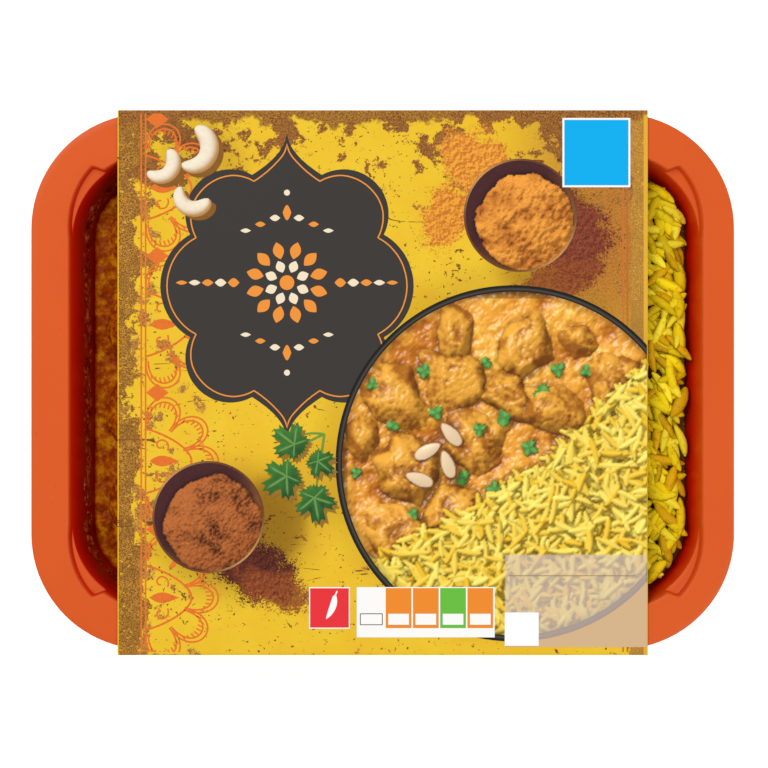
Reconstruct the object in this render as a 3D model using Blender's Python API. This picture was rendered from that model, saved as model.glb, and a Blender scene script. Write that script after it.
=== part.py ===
"""Ready meal in a plastic tray with two compartments, held in a card sleeve.

The thermoformed tray carries a curry with chicken pieces at its -X end and pilau rice
at its +X end. The sleeve is one strip of board, folded round the tray and glued along
its base, and it leaves both ends of the tray open to view.
Units are metres, +Z is up and the sleeve's base rests on Z = 0.
"""
import math
import random

import bmesh
import bpy
from mathutils import Matrix, Vector, noise

MM = 0.001

# Card sleeve
BOARD = 0.5 * MM
SLEEVE_LENGTH = 159.0 * MM
SLEEVE_TOP_WIDTH = 163.9 * MM
SLEEVE_BASE_WIDTH = 147.0 * MM
FOLD_RADIUS = 0.8 * MM
FOLD_STEPS = 3
GLUE_FLAP = 14.0 * MM
FLAP_MARGIN = 2.0 * MM
GAP = 0.3 * MM

# Tray, measured down from the top face of its flange
TRAY_LENGTH = 210.8 * MM
TRAY_WIDTH = 160.8 * MM
TRAY_CORNER = 34.6 * MM
TRAY_SHIFT_Y = 0.4 * MM
TRAY_HEIGHT = 40.0 * MM
WALL = 0.7 * MM
WELL_HALF_WIDTH = 69.0 * MM
WELL_CORNER = 26.0 * MM
CURRY_END = 95.0 * MM
RICE_END = 96.8 * MM
DIVIDER_CENTRE_X = 8.0 * MM
DIVIDER_WIDTH = 8.0 * MM
DIVIDER_CORNER = 15.0 * MM
DIVIDER_STEEPNESS = 0.55
DIVIDER_CORNER_TAPER = 0.6
DRAFT = math.radians(22.0)
RIM_RADIUS = 1.0 * MM
BASE_RADIUS = 7.0 * MM
FLANGE_STEPS = 10
CORNER_STEPS = 5

# Stacking ledges in the four outer corners of the tray
LEDGE_DEPTH = 2.8 * MM
LEDGE_SLOPE = 0.2 * MM
LEDGE_BULGE = 3.2 * MM
LEDGE_END_ANGLE = 50.0
LEDGE_CLOSE_ANGLE = 4.0
LEDGE_STEPS = 6

# Food, its depths measured down from the flange as well
FOOD_GAP = 0.35 * MM
CURRY_DEPTH = 17.0 * MM
CURRY_RELIEF = 1.6 * MM
CURRY_SWELL = 13.0 * MM
CURRY_LUMP = 5.5 * MM
CURRY_CELL = 4.4 * MM
RICE_EDGE_DEPTH = 10.5 * MM
RICE_RISE = 3.2 * MM
RICE_RISE_WIDTH = 26.0 * MM
RICE_UNEVEN = 0.8 * MM
RICE_SWELL = 17.0 * MM
RICE_CELL = 6.0 * MM
RICE_TOP_ROOM = 2.0 * MM
FOOD_MARGIN = 2.0 * MM

# Chicken pieces that show past the sleeve's edge: centre x and y, length, width, turn
CHICKEN_HEIGHT = 15.0 * MM
CHICKEN_DEPTH = 18.7 * MM
LUMP_SQUARENESS = 2.6
LUMP_DENTS = 0.2
LUMP_RIPPLES = 0.09
CHICKEN_PIECES = (
    (-71.5, 43.5, 21.5, 23.0, 75.0),
    (-72.9, 17.8, 23.0, 22.0, 96.0),
    (-71.8, -9.0, 24.0, 24.5, 84.0),
    (-72.9, -35.0, 22.0, 22.0, 100.0),
)

# Rice grains
GRAIN_LENGTH = 11.6 * MM
GRAIN_RADIUS = 1.45 * MM
GRAIN_SIDES = 5
GRAIN_BEND = 0.9 * MM
SHOWN_RICE_X = 77.0 * MM
SHOWN_SPACING = 3.8 * MM
HIDDEN_SPACING = 10.5 * MM
SCATTER_TRIES = 4000

SLEEVE_HEIGHT = BOARD + GAP + TRAY_HEIGHT + GAP + BOARD
FLANGE_TOP = SLEEVE_HEIGHT - BOARD - GAP
WELL_DEPTH = TRAY_HEIGHT - WALL


class Well:
    """One compartment: x runs from the divider (near) to the tray's end (far)."""

    def __init__(self, side, near, far):
        self.side = side
        self.near = near
        self.far = far

    def inset(self, depth):
        """Horizontal distance from the rim's edge to the end wall at a depth."""
        angle = math.pi / 2 - DRAFT
        start = RIM_RADIUS * math.sin(angle)
        start_depth = RIM_RADIUS * (1 - math.cos(angle))
        return start + (depth - start_depth) * math.tan(DRAFT)

    def clearance(self, x, y, depth):
        """Signed distance from a point inside the well to its wall at a depth."""
        inset = self.inset(depth)
        near = self.near + inset * DIVIDER_STEEPNESS
        far = self.far - inset
        radius = WELL_CORNER - inset
        half_x = (far - near) / 2
        half_y = WELL_HALF_WIDTH - inset
        qx = abs(self.side * x - (near + far) / 2) - half_x + radius
        qy = abs(y) - half_y + radius
        outside = math.hypot(max(qx, 0.0), max(qy, 0.0))
        return radius - outside - min(max(qx, qy), 0.0)


CURRY_WELL = Well(-1, DIVIDER_WIDTH / 2 - DIVIDER_CENTRE_X, CURRY_END)
RICE_WELL = Well(1, DIVIDER_WIDTH / 2 + DIVIDER_CENTRE_X, RICE_END)


def clear_scene():
    for obj in list(bpy.data.objects):
        bpy.data.objects.remove(obj, do_unlink=True)


def material(name, colour, roughness):
    """A Principled material with a linear base colour."""
    mat = bpy.data.materials.new(name)
    mat.use_nodes = True
    shader = mat.node_tree.nodes["Principled BSDF"]
    shader.inputs["Base Color"].default_value = (*colour, 1.0)
    shader.inputs["Roughness"].default_value = roughness
    shader.inputs["Metallic"].default_value = 0.0
    return mat


def add_object(name, bm, mat=None, parent=None, smooth_angle=None):
    """Turn a bmesh into a named object, with an optional material and parent."""
    mesh = bpy.data.meshes.new(name)
    bm.to_mesh(mesh)
    bm.free()
    if smooth_angle is not None:
        mesh.shade_smooth()
        mesh.set_sharp_from_angle(angle=math.radians(smooth_angle))
    obj = bpy.data.objects.new(name, mesh)
    bpy.context.collection.objects.link(obj)
    if mat is not None:
        mesh.materials.append(mat)
    obj.parent = parent
    return obj


def hide_cutter(obj):
    obj.hide_render = True
    obj.display_type = "WIRE"


def apply_boolean(obj, operation, other=None, collection=None):
    """Run one Boolean on an object and keep its result as the object's mesh."""
    modifier = obj.modifiers.new("boolean", "BOOLEAN")
    modifier.operation = operation
    modifier.solver = "EXACT"
    if collection is None:
        modifier.object = other
    else:
        modifier.operand_type = "COLLECTION"
        modifier.collection = collection
    graph = bpy.context.evaluated_depsgraph_get()
    result = bpy.data.meshes.new_from_object(obj.evaluated_get(graph))
    obj.modifiers.remove(modifier)
    obj.data = result


def remove_objects(objects):
    for obj in objects:
        bpy.data.objects.remove(obj, do_unlink=True)


def keep_largest_shell(obj):
    """Drop loose scraps and sealed hollows: only the widest linked shell is kept."""
    bm = bmesh.new()
    bm.from_mesh(obj.data)
    bm.verts.ensure_lookup_table()
    unseen = set(bm.verts)
    shells = []
    while unseen:
        stack = [unseen.pop()]
        shell = list(stack)
        while stack:
            for edge in stack.pop().link_edges:
                for vert in edge.verts:
                    if vert in unseen:
                        unseen.remove(vert)
                        stack.append(vert)
                        shell.append(vert)
        shells.append(shell)
    shells.sort(key=len, reverse=True)
    for shell in shells[1:]:
        bmesh.ops.delete(bm, geom=shell, context="VERTS")
    bm.to_mesh(obj.data)
    bm.free()


def arc(centre, radius, start, end, steps):
    """Points on an arc, its angles in degrees, both ends included."""
    points = []
    for step in range(steps + 1):
        angle = math.radians(start + (end - start) * step / steps)
        points.append((centre[0] + radius * math.cos(angle), centre[1] + radius * math.sin(angle)))
    return points


def rounded_rectangle(half_x, half_y, radius, steps):
    """Outline of a rectangle with round corners, anticlockwise from +X."""
    points = []
    for quarter, (sx, sy) in enumerate(((1, 1), (-1, 1), (-1, -1), (1, -1))):
        centre = (sx * (half_x - radius), sy * (half_y - radius))
        points += arc(centre, radius, 90 * quarter, 90 * quarter + 90, steps)
    return points


def ledge_angles():
    """Angles through an outer corner, closer together where its ledge ends."""
    angles = [LEDGE_END_ANGLE * step / LEDGE_STEPS for step in range(LEDGE_STEPS + 1)]
    after = LEDGE_END_ANGLE + LEDGE_CLOSE_ANGLE
    angles += [after + (90 - after) * step / CORNER_STEPS for step in range(CORNER_STEPS + 1)]
    return angles


def well_outline(well, inset, bulge):
    """Outline of a compartment at one depth.

    The end and the sides move in by inset, and the steeper divider wall by less. Each
    outer corner swells by bulge, which grows along its ledge and stops at the ledge's end.
    """
    near = well.near + inset * DIVIDER_STEEPNESS
    far = well.far - inset
    half_y = WELL_HALF_WIDTH - inset
    outer_radius = WELL_CORNER - inset
    inner_radius = DIVIDER_CORNER - inset * DIVIDER_CORNER_TAPER
    quarter = []
    for angle in ledge_angles():
        swell = bulge * angle / LEDGE_END_ANGLE if angle <= LEDGE_END_ANGLE else 0.0
        turn = math.radians(angle)
        reach = outer_radius + swell
        quarter.append((far - outer_radius + reach * math.cos(turn),
                        half_y - outer_radius + reach * math.sin(turn)))
    centre = (near + inner_radius, half_y - inner_radius)
    quarter += arc(centre, inner_radius, 90, 180, CORNER_STEPS)
    outline = quarter + [(x, -y) for x, y in reversed(quarter)]
    return [(well.side * x, y) for x, y in outline]


def wall_profile(start_depth=0.0):
    """(inset, depth, bulge) down a well's wall, from a depth or from the flange's face.

    The rim rolls over on a small radius, the wall runs down at its draft angle past the
    ledge, and a larger radius leads into the base.
    """
    angle = math.pi / 2 - DRAFT
    slope = math.tan(DRAFT)
    rim_end = (RIM_RADIUS * math.sin(angle), RIM_RADIUS * (1 - math.cos(angle)))
    base_start_depth = WELL_DEPTH - BASE_RADIUS * (1 - math.cos(angle))
    base_start = (rim_end[0] + (base_start_depth - rim_end[1]) * slope, base_start_depth)

    def on_wall(depth):
        return rim_end[0] + (depth - rim_end[1]) * slope

    points = []
    if start_depth > 0:
        points.append((on_wall(start_depth), start_depth, 0.0))
    else:
        for step in range(3):
            turn = angle * step / 2
            inset = RIM_RADIUS * math.sin(turn)
            points.append((inset, RIM_RADIUS * (1 - math.cos(turn)), LEDGE_BULGE))
        lip = LEDGE_DEPTH - LEDGE_SLOPE
        foot = LEDGE_DEPTH + LEDGE_SLOPE
        points.append((on_wall(lip), lip, LEDGE_BULGE))
        points.append((on_wall(foot), foot, 0.0))
    for step in range(4):
        turn = angle * (1 - step / 3)
        inset = base_start[0] + BASE_RADIUS * (math.sin(angle) - math.sin(turn))
        points.append((inset, base_start[1] + BASE_RADIUS * (math.cos(turn) - math.cos(angle)), 0.0))
    return points


def add_loop(bm, points, z):
    return [bm.verts.new((x, y, z)) for x, y in points]


def loop_edges(bm, loop):
    """The edges round a closed loop of vertices, made where they are missing."""
    edges = []
    for index, vert in enumerate(loop):
        after = loop[(index + 1) % len(loop)]
        edges.append(bm.edges.get((vert, after)) or bm.edges.new((vert, after)))
    return edges


def bridge(bm, upper, lower):
    """Quads between two loops of the same length."""
    count = len(upper)
    for index in range(count):
        after = (index + 1) % count
        bm.faces.new((upper[index], upper[after], lower[after], lower[index]))


def add_well(bm, well):
    """Add one compartment's sheet, open at the top, and return its rim loop."""
    loops = []
    for inset, depth, bulge in wall_profile():
        loops.append(add_loop(bm, well_outline(well, inset, bulge), -depth))
    for upper, lower in zip(loops, loops[1:]):
        bridge(bm, upper, lower)
    bm.faces.new(loops[-1])
    return loops[0]


def make_tray(parent):
    """The formed sheet: a flat flange with two wells, given its wall by Solidify."""
    bm = bmesh.new()
    flange = rounded_rectangle(TRAY_LENGTH / 2, TRAY_WIDTH / 2, TRAY_CORNER, FLANGE_STEPS)
    rims = [add_loop(bm, flange, 0.0), add_well(bm, CURRY_WELL), add_well(bm, RICE_WELL)]
    edges = [edge for rim in rims for edge in loop_edges(bm, rim)]
    bmesh.ops.triangle_fill(bm, use_beauty=True, use_dissolve=False, edges=edges)
    bmesh.ops.recalc_face_normals(bm, faces=bm.faces)
    highest = max(bm.faces, key=lambda face: face.calc_center_median().z + face.calc_area())
    if highest.normal.z < 0:
        bmesh.ops.reverse_faces(bm, faces=bm.faces)
    plastic = material("orange_cpet_plastic", (0.72, 0.12, 0.028), 0.42)
    tray = add_object("tray", bm, plastic, parent, smooth_angle=35)
    solidify = tray.modifiers.new("wall", "SOLIDIFY")
    solidify.thickness = WALL
    solidify.offset = -1.0
    solidify.use_even_offset = True
    return tray


def round_corner(before, corner, after, radius):
    """An arc that rounds a polygon's corner, or the corner itself where radius is 0."""
    if radius == 0:
        return [corner]
    corner = Vector(corner)
    to_before = (Vector(before) - corner).normalized()
    to_after = (Vector(after) - corner).normalized()
    half_angle = to_before.angle(to_after) / 2
    centre = corner + (to_before + to_after).normalized() * radius / math.sin(half_angle)
    start = corner + to_before * radius / math.tan(half_angle) - centre
    end = corner + to_after * radius / math.tan(half_angle) - centre
    sweep = start.angle_signed(end)
    points = []
    for step in range(FOLD_STEPS + 1):
        turned = start.copy()
        turned.rotate(Matrix.Rotation(-sweep * step / FOLD_STEPS, 2))
        points.append(tuple(centre + turned))
    return points


def sleeve_loop(inward):
    """The sleeve's section in (y, z), inward 0 outside the board and 1 inside it.

    The base is doubled by the glue flap: outside, the step is the base panel's free edge
    near the +Y fold, and inside, it is the flap's edge further in.
    """
    slope = (SLEEVE_TOP_WIDTH - SLEEVE_BASE_WIDTH) / 2 / SLEEVE_HEIGHT
    skin = inward * BOARD
    lean = skin * math.hypot(1.0, slope)

    def side(z):
        return SLEEVE_BASE_WIDTH / 2 + slope * z - lean

    low = skin
    raised = skin + BOARD
    top = SLEEVE_HEIGHT - skin
    fold = SLEEVE_BASE_WIDTH / 2
    step_y = fold - GLUE_FLAP if inward else fold - FLAP_MARGIN
    corners = [(-side(low), low), (step_y, low), (step_y, raised), (side(raised), raised),
               (side(top), top), (-side(top), top)]
    radius = FOLD_RADIUS - skin
    radii = (radius, 0, 0, radius, radius, radius)
    points = []
    for index, corner in enumerate(corners):
        after = corners[(index + 1) % len(corners)]
        points += round_corner(corners[index - 1], corner, after, radii[index])
    return points


def make_sleeve():
    """The board's closed section, extruded along X."""
    bm = bmesh.new()
    start = -SLEEVE_LENGTH / 2
    outer = [bm.verts.new((start, y, z)) for y, z in sleeve_loop(0)]
    inner = [bm.verts.new((start, y, z)) for y, z in sleeve_loop(1)]
    bridge(bm, outer, inner)
    extruded = bmesh.ops.extrude_face_region(bm, geom=bm.faces[:])
    moved = [item for item in extruded["geom"] if isinstance(item, bmesh.types.BMVert)]
    bmesh.ops.translate(bm, verts=moved, vec=(SLEEVE_LENGTH, 0, 0))
    bmesh.ops.recalc_face_normals(bm, faces=bm.faces)
    card = material("printed_yellow_card", (0.86, 0.62, 0.03), 0.5)
    return add_object("sleeve", bm, card, smooth_angle=40)


def fill_of_well(name, well, start_depth, mat, parent):
    """A solid that fills a well from a depth down, clear of its walls and base."""
    bm = bmesh.new()
    loops = []
    for inset, depth, _ in wall_profile(start_depth):
        outline = well_outline(well, inset + FOOD_GAP, 0.0)
        loops.append(add_loop(bm, outline, FOOD_GAP - depth))
    for upper, lower in zip(loops, loops[1:]):
        bridge(bm, upper, lower)
    bm.faces.new(loops[0])
    bm.faces.new(loops[-1])
    bmesh.ops.recalc_face_normals(bm, faces=bm.faces)
    return add_object(name, bm, mat, parent, smooth_angle=50)


def relief_block(name, well, height, cell, parent):
    """A block under a height field that covers a well, used to shape a food's top."""
    low_x, high_x = sorted((well.side * (well.near - FOOD_MARGIN), well.side * (well.far + FOOD_MARGIN)))
    half_y = WELL_HALF_WIDTH + FOOD_MARGIN
    cells_x = round((high_x - low_x) / cell)
    cells_y = round(2 * half_y / cell)
    bm = bmesh.new()
    bmesh.ops.create_grid(bm, x_segments=cells_x, y_segments=cells_y, size=0.5)
    for vert in bm.verts:
        vert.co.x = low_x + (vert.co.x + 0.5) * (high_x - low_x)
        vert.co.y = 2 * half_y * vert.co.y
    bmesh.ops.triangulate(bm, faces=bm.faces[:])
    extruded = bmesh.ops.extrude_face_region(bm, geom=bm.faces[:])
    top = [item for item in extruded["geom"] if isinstance(item, bmesh.types.BMVert)]
    top_set = set(top)
    for vert in bm.verts:
        vert.co.z = height(vert.co.x, vert.co.y) if vert in top_set else -TRAY_HEIGHT
    flat = [face for face in bm.faces if all(vert not in top_set for vert in face.verts)]
    bmesh.ops.dissolve_faces(bm, faces=flat)
    bmesh.ops.recalc_face_normals(bm, faces=bm.faces)
    block = add_object(name, bm, parent=parent)
    hide_cutter(block)
    return block


def curry_height(x, y):
    """Sauce level with broad lumps, a little lower where it draws away from the wall."""
    broad = noise.noise(Vector((x, y, 0.0)) / CURRY_SWELL)
    fine = noise.noise(Vector((x, y, 0.02)) / CURRY_LUMP)
    edge = CURRY_WELL.clearance(x, y, CURRY_DEPTH)
    dip = math.exp(-((edge - 3.5 * MM) / (1.8 * MM)) ** 2)
    return -CURRY_DEPTH + CURRY_RELIEF * (0.75 * broad + 0.45 * fine - 0.55 * dip)


def rice_height(x, y):
    """The heap's core rises from the wall to a broad, uneven top."""
    edge = max(RICE_WELL.clearance(x, y, RICE_EDGE_DEPTH), 0.0)
    rise = min(edge / RICE_RISE_WIDTH, 1.0)
    rise = math.sin(rise * math.pi / 2)
    uneven = noise.noise(Vector((x, y, 0.07)) / RICE_SWELL) * RICE_UNEVEN
    return -RICE_EDGE_DEPTH + RICE_RISE * rise + uneven * rise


def make_lump(name, length, width, height, seed, swell, mat, parent):
    """An irregular cut piece: a squared-off ball with soft dents, about its own centre."""
    bm = bmesh.new()
    bmesh.ops.create_icosphere(bm, subdivisions=3, radius=1.0)
    shift = Vector((seed * 3.1, seed * 1.7, seed * 0.9))
    for vert in bm.verts:
        ray = vert.co.normalized()
        power = sum(abs(value) ** LUMP_SQUARENESS for value in ray) ** (-1 / LUMP_SQUARENESS)
        dent = 1 + LUMP_DENTS * noise.noise(ray * 1.3 + shift) + LUMP_RIPPLES * noise.noise(ray * 2.9 - shift)
        reach = power * dent
        vert.co.x = ray.x * (reach * length / 2 + swell)
        vert.co.y = ray.y * (reach * width / 2 + swell)
        vert.co.z = ray.z * (reach * height / 2 + swell)
    bmesh.ops.recalc_face_normals(bm, faces=bm.faces)
    return add_object(name, bm, mat, parent, smooth_angle=60)


def make_curry(parent):
    """The sauce, level and lumpy on top, with sockets where the chicken sits in it."""
    sauce = material("korma_sauce", (0.32, 0.09, 0.008), 0.25)
    meat = material("sauce_coated_chicken", (0.42, 0.15, 0.012), 0.35)
    curry = fill_of_well("curry", CURRY_WELL, CURRY_DEPTH - 2 * CURRY_RELIEF, sauce, parent)
    block = relief_block("curry_relief", CURRY_WELL, curry_height, CURRY_CELL, parent)
    sockets = bpy.data.collections.new("sockets")
    bpy.context.scene.collection.children.link(sockets)
    for number, (x, y, length, width, turn) in enumerate(CHICKEN_PIECES, start=1):
        size = (length * MM, width * MM, CHICKEN_HEIGHT)
        piece = make_lump(f"chicken_{number}", *size, number, 0.0, meat, parent)
        socket = make_lump(f"socket_{number}", *size, number, FOOD_GAP, None, parent)
        for obj in (piece, socket):
            obj.location = (x * MM, y * MM, -CHICKEN_DEPTH)
            obj.rotation_euler.z = math.radians(turn)
        bpy.context.collection.objects.unlink(socket)
        sockets.objects.link(socket)
    bpy.context.view_layer.update()
    apply_boolean(curry, "INTERSECT", other=block)
    apply_boolean(curry, "DIFFERENCE", collection=sockets)
    remove_objects([block, *sockets.objects])
    bpy.data.collections.remove(sockets)
    keep_largest_shell(curry)
    return curry


def make_grain(name, length, radius, bend):
    """A long grain: rings of few sides on a slightly bent axis, closed at both tips."""
    bm = bmesh.new()
    rings = []
    for place, thickness in ((-0.28, 0.85), (0.0, 1.0), (0.28, 0.85)):
        sag = bend * (1 - (2 * place) ** 2)
        ring = []
        for side in range(GRAIN_SIDES):
            angle = 2 * math.pi * side / GRAIN_SIDES
            y = sag + radius * thickness * math.cos(angle)
            ring.append(bm.verts.new((place * length, y, radius * thickness * math.sin(angle))))
        rings.append(ring)
    for first, second in zip(rings, rings[1:]):
        bridge(bm, first, second)
    for ring, end in ((rings[0], -0.5), (rings[-1], 0.5)):
        tip = bm.verts.new((end * length, 0.0, 0.0))
        for index in range(GRAIN_SIDES):
            bm.faces.new((ring[index], ring[(index + 1) % GRAIN_SIDES], tip))
    bmesh.ops.recalc_face_normals(bm, faces=bm.faces)
    return add_object(name, bm)


def grain_spots(rng):
    """Places for grains: close together where the rice shows, wider under the sleeve.

    Each draw is kept where it is far enough from those before it and where both of the
    grain's tips stay inside the well.
    """
    spots = []
    for attempt in range(SCATTER_TRIES):
        shown = attempt % 2 == 0
        low = SHOWN_RICE_X if shown else RICE_WELL.near
        high = RICE_WELL.far if shown else SHOWN_RICE_X
        spacing = SHOWN_SPACING if shown else HIDDEN_SPACING
        x = rng.uniform(low, high)
        y = rng.uniform(-WELL_HALF_WIDTH, WELL_HALF_WIDTH)
        turn = rng.uniform(0, math.pi)
        length = GRAIN_LENGTH * rng.uniform(0.85, 1.08)
        reach = Vector((math.cos(turn), math.sin(turn))) * length / 2
        room = min(RICE_WELL.clearance(x + sign * reach.x, y + sign * reach.y, RICE_EDGE_DEPTH)
                   for sign in (-1, 1))
        if room < GRAIN_RADIUS + GRAIN_BEND + FOOD_GAP:
            continue
        if all(math.hypot(x - spot[0], y - spot[1]) >= spacing for spot in spots):
            spots.append((x, y, turn, length))
    return spots


def make_rice(parent):
    """The heap: a core up to the grains' undersides, with the grains that show fused on."""
    cooked = material("pilau_rice", (0.66, 0.42, 0.02), 0.45)
    top_depth = RICE_EDGE_DEPTH - RICE_RISE - RICE_TOP_ROOM
    rice = fill_of_well("rice", RICE_WELL, top_depth, cooked, parent)
    block = relief_block("rice_relief", RICE_WELL, rice_height, RICE_CELL, parent)
    bpy.context.view_layer.update()
    apply_boolean(rice, "INTERSECT", other=block)
    grains = bpy.data.collections.new("grains")
    bpy.context.scene.collection.children.link(grains)
    rng = random.Random(7)
    for x, y, turn, length in grain_spots(rng):
        grain = make_grain("grain", length, GRAIN_RADIUS * rng.uniform(0.9, 1.1), GRAIN_BEND)
        reach = Vector((math.cos(turn), math.sin(turn))) * length / 2
        ends = [rice_height(x + sign * reach.x, y + sign * reach.y) for sign in (-1, 1)]
        pitch = math.atan2(ends[1] - ends[0], length) + rng.uniform(-0.08, 0.08)
        grain.parent = parent
        grain.rotation_euler = (0.0, -pitch, turn)
        middle = max(rice_height(x, y), sum(ends) / 2)
        grain.location = (x, y, middle + GRAIN_RADIUS * rng.uniform(0.6, 1.0))
        bpy.context.collection.objects.unlink(grain)
        grains.objects.link(grain)
    bpy.context.view_layer.update()
    apply_boolean(rice, "UNION", collection=grains)
    remove_objects([block, *grains.objects])
    bpy.data.collections.remove(grains)
    keep_largest_shell(rice)
    return rice


def main():
    clear_scene()
    tray_frame = bpy.data.objects.new("tray_frame", None)
    bpy.context.collection.objects.link(tray_frame)
    tray_frame.location = (0.0, TRAY_SHIFT_Y, FLANGE_TOP)
    make_sleeve()
    make_tray(tray_frame)
    make_curry(tray_frame)
    make_rice(tray_frame)


main()
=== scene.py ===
"""Ready meal in a plastic tray and a printed card sleeve: its surfaces and finishes.

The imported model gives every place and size. Lengths are millimetres until a mesh is made,
which turns them to metres. +X runs from the curry's end of the tray to the rice's end,
and +Z points up through the sleeve's printed face.
"""
from __future__ import annotations

import logging
import math
from collections.abc import Callable, Sequence
from dataclasses import dataclass, field
from enum import Enum

import bmesh
import bpy
import numpy as np
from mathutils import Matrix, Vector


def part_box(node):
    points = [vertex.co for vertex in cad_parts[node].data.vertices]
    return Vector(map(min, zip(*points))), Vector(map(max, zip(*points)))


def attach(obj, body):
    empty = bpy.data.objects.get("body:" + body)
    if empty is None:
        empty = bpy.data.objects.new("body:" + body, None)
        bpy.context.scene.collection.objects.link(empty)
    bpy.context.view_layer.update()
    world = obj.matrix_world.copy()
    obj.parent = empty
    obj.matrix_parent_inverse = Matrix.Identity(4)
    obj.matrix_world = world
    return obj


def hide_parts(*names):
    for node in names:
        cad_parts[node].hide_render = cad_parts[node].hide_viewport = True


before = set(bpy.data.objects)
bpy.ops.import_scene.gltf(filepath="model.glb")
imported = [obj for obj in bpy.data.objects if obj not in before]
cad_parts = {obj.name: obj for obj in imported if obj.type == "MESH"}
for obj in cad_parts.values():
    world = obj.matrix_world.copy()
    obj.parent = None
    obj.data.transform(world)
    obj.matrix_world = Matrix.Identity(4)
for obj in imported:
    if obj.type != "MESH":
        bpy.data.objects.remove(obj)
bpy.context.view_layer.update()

LOG = logging.getLogger("ready_meal")
BODY = "root"
LATTICE = 64
TO_METRES = 0.001
Array = np.ndarray
Piece = bpy.types.Object
Material = bpy.types.Material
Place = Sequence[float]
Colour = tuple[float, float, float]
Field = Callable[[Array, Array], Array]
Outline = Callable[[Array], Array]
Shading = Callable[[Array, Array, Array, Array], Array]
Tone = "Wire | Palette | Colour | str"


class Palette(Enum):
    """The meal's colours, as sRGB hex."""

    TRAY = "#DC5A1C"
    TRAY_DEEP = "#B9300F"
    PAINT = "#EBBE26"
    PAINT_LIGHT = "#EFC62E"
    PAINT_DULL = "#EDB62E"
    WORN = "#A26A2C"
    WORN_DARK = "#7A4420"
    SPECK = "#5B3418"
    LINE = "#E8742B"
    CHARCOAL = "#47433F"
    CREAM = "#F4E3C4"
    WHITE = "#FBFAF6"
    BLUE = "#00AEEF"
    RED = "#EA333B"
    AMBER = "#F08C2C"
    GREEN = "#68BE40"
    BOWL_DARK = "#4A2628"
    GRAVY = "#C6812F"
    SAUCE = "#B04C02"
    SAUCE_DARK = "#883000"
    SAUCE_LIGHT = "#D88A04"
    OIL = "#A03802"
    FILM = "#8C1402"
    FILM_LIGHT = "#C44E20"
    FILM_DARK = "#5C0600"
    RICE_LIGHT = "#F2CC10"
    RICE_SHADE = "#6E4800"
    FLOOR = "#FDFDFB"


def linear(colour: Palette | str) -> Colour:
    """Turn an sRGB hex colour into linear light.

    Args:
        colour: A palette entry or a hex string.

    Returns:
        The red, green and blue values in linear light.
    """
    text = colour.value if isinstance(colour, Palette) else colour
    values = np.array([int(text[i:i + 2], 16) for i in (1, 3, 5)]) / 255.0
    light = np.where(values <= 0.04045, values / 12.92, ((values + 0.055) / 1.055) ** 2.4)
    return tuple(float(value) for value in light)


def as_light(colour: Array | Tone) -> Array:
    """Linear values of a hex or palette entry; an array stays as it is."""
    return np.asarray(linear(colour) if isinstance(colour, (Palette, str)) else colour, float)


def blend_colours(first: Array | Tone, second: Array | Tone, amount: Array) -> Array:
    """Mix two colours by an array of amounts from 0 to 1."""
    part = np.clip(np.asarray(amount, float), 0.0, 1.0)[..., None]
    return as_light(first) * (1 - part) + as_light(second) * part


def smooth_noise(x: Array, y: Array, cell: float, seed: int, octaves: int = 1) -> Array:
    """Lattice noise: random values at whole cells, eased between them, octaves halved and summed.

    Args:
        x: First coordinates.
        y: Second coordinates.
        cell: Distance between the lattice's points.
        seed: Seed of the lattice.
        octaves: How many times the pattern is added at half the size and strength.

    Returns:
        Values from about -1 to 1, in the coordinates' shape.
    """
    total, norm = np.zeros(np.broadcast(x, y).shape), 0.0
    for octave in range(octaves):
        lattice = np.random.default_rng(seed + 97 * octave).uniform(-1, 1, (LATTICE, LATTICE))
        u, v = (np.asarray(place) / cell * 2 ** octave for place in (x, y))
        i, j = np.floor(u).astype(int), np.floor(v).astype(int)
        across, up = (part * part * (3 - 2 * part) for part in (u - i, v - j))
        low, high = (lattice[i % LATTICE, row % LATTICE] * (1 - across)
                     + lattice[(i + 1) % LATTICE, row % LATTICE] * across for row in (j, j + 1))
        total = total + 0.5 ** octave * (low * (1 - up) + high * up)
        norm += 0.5 ** octave
    return total / norm


def ease(value: Array, low: float, high: float) -> Array:
    """A smooth step from 0 at low to 1 at high."""
    part = np.clip((np.asarray(value, float) - low) / (high - low), 0.0, 1.0)
    return part * part * (3 - 2 * part)


def pair(x: Array | float, y: Array | float) -> Array:
    """Places from x and y, either of which may be one number."""
    return np.stack(np.broadcast_arrays(x, y), axis=-1).astype(float)


def polar(centre: Place, reach: Array | float, angle: Array | float, squash: float = 1.0) -> Array:
    """Places at a reach and an angle from a centre, their y squashed."""
    return pair(centre[0] + reach * np.cos(angle), centre[1] + reach * np.sin(angle) * squash)


def cloud_of(x: Array | float, y: Array | float, z: Array | float) -> Array:
    """(n, 3) points from coordinates of any common shape."""
    return np.stack(np.broadcast_arrays(x, y, z), axis=-1).reshape(-1, 3)


def turned(x: Array, y: Array, turn: float) -> tuple[Array, Array]:
    """Places measured along axes that are turned by an angle."""
    return x * math.cos(turn) + y * math.sin(turn), y * math.cos(turn) - x * math.sin(turn)


def box_mm(node: str) -> tuple[Array, Array]:
    """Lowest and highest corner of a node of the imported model."""
    low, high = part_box(node)
    return np.array(low) / TO_METRES, np.array(high) / TO_METRES


def place_object(name: str, data: bpy.types.ID) -> Piece:
    """Link a new object at the origin."""
    obj = bpy.data.objects.new(name, data)
    bpy.context.collection.objects.link(obj)
    return obj


def thicken(obj: Piece, thickness: float) -> bpy.types.Modifier:
    """Give a sheet its thickness, inwards from its faces."""
    solid = obj.modifiers.new("thickness", "SOLIDIFY")
    solid.thickness, solid.offset = thickness * TO_METRES, -1.0
    return solid


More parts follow.
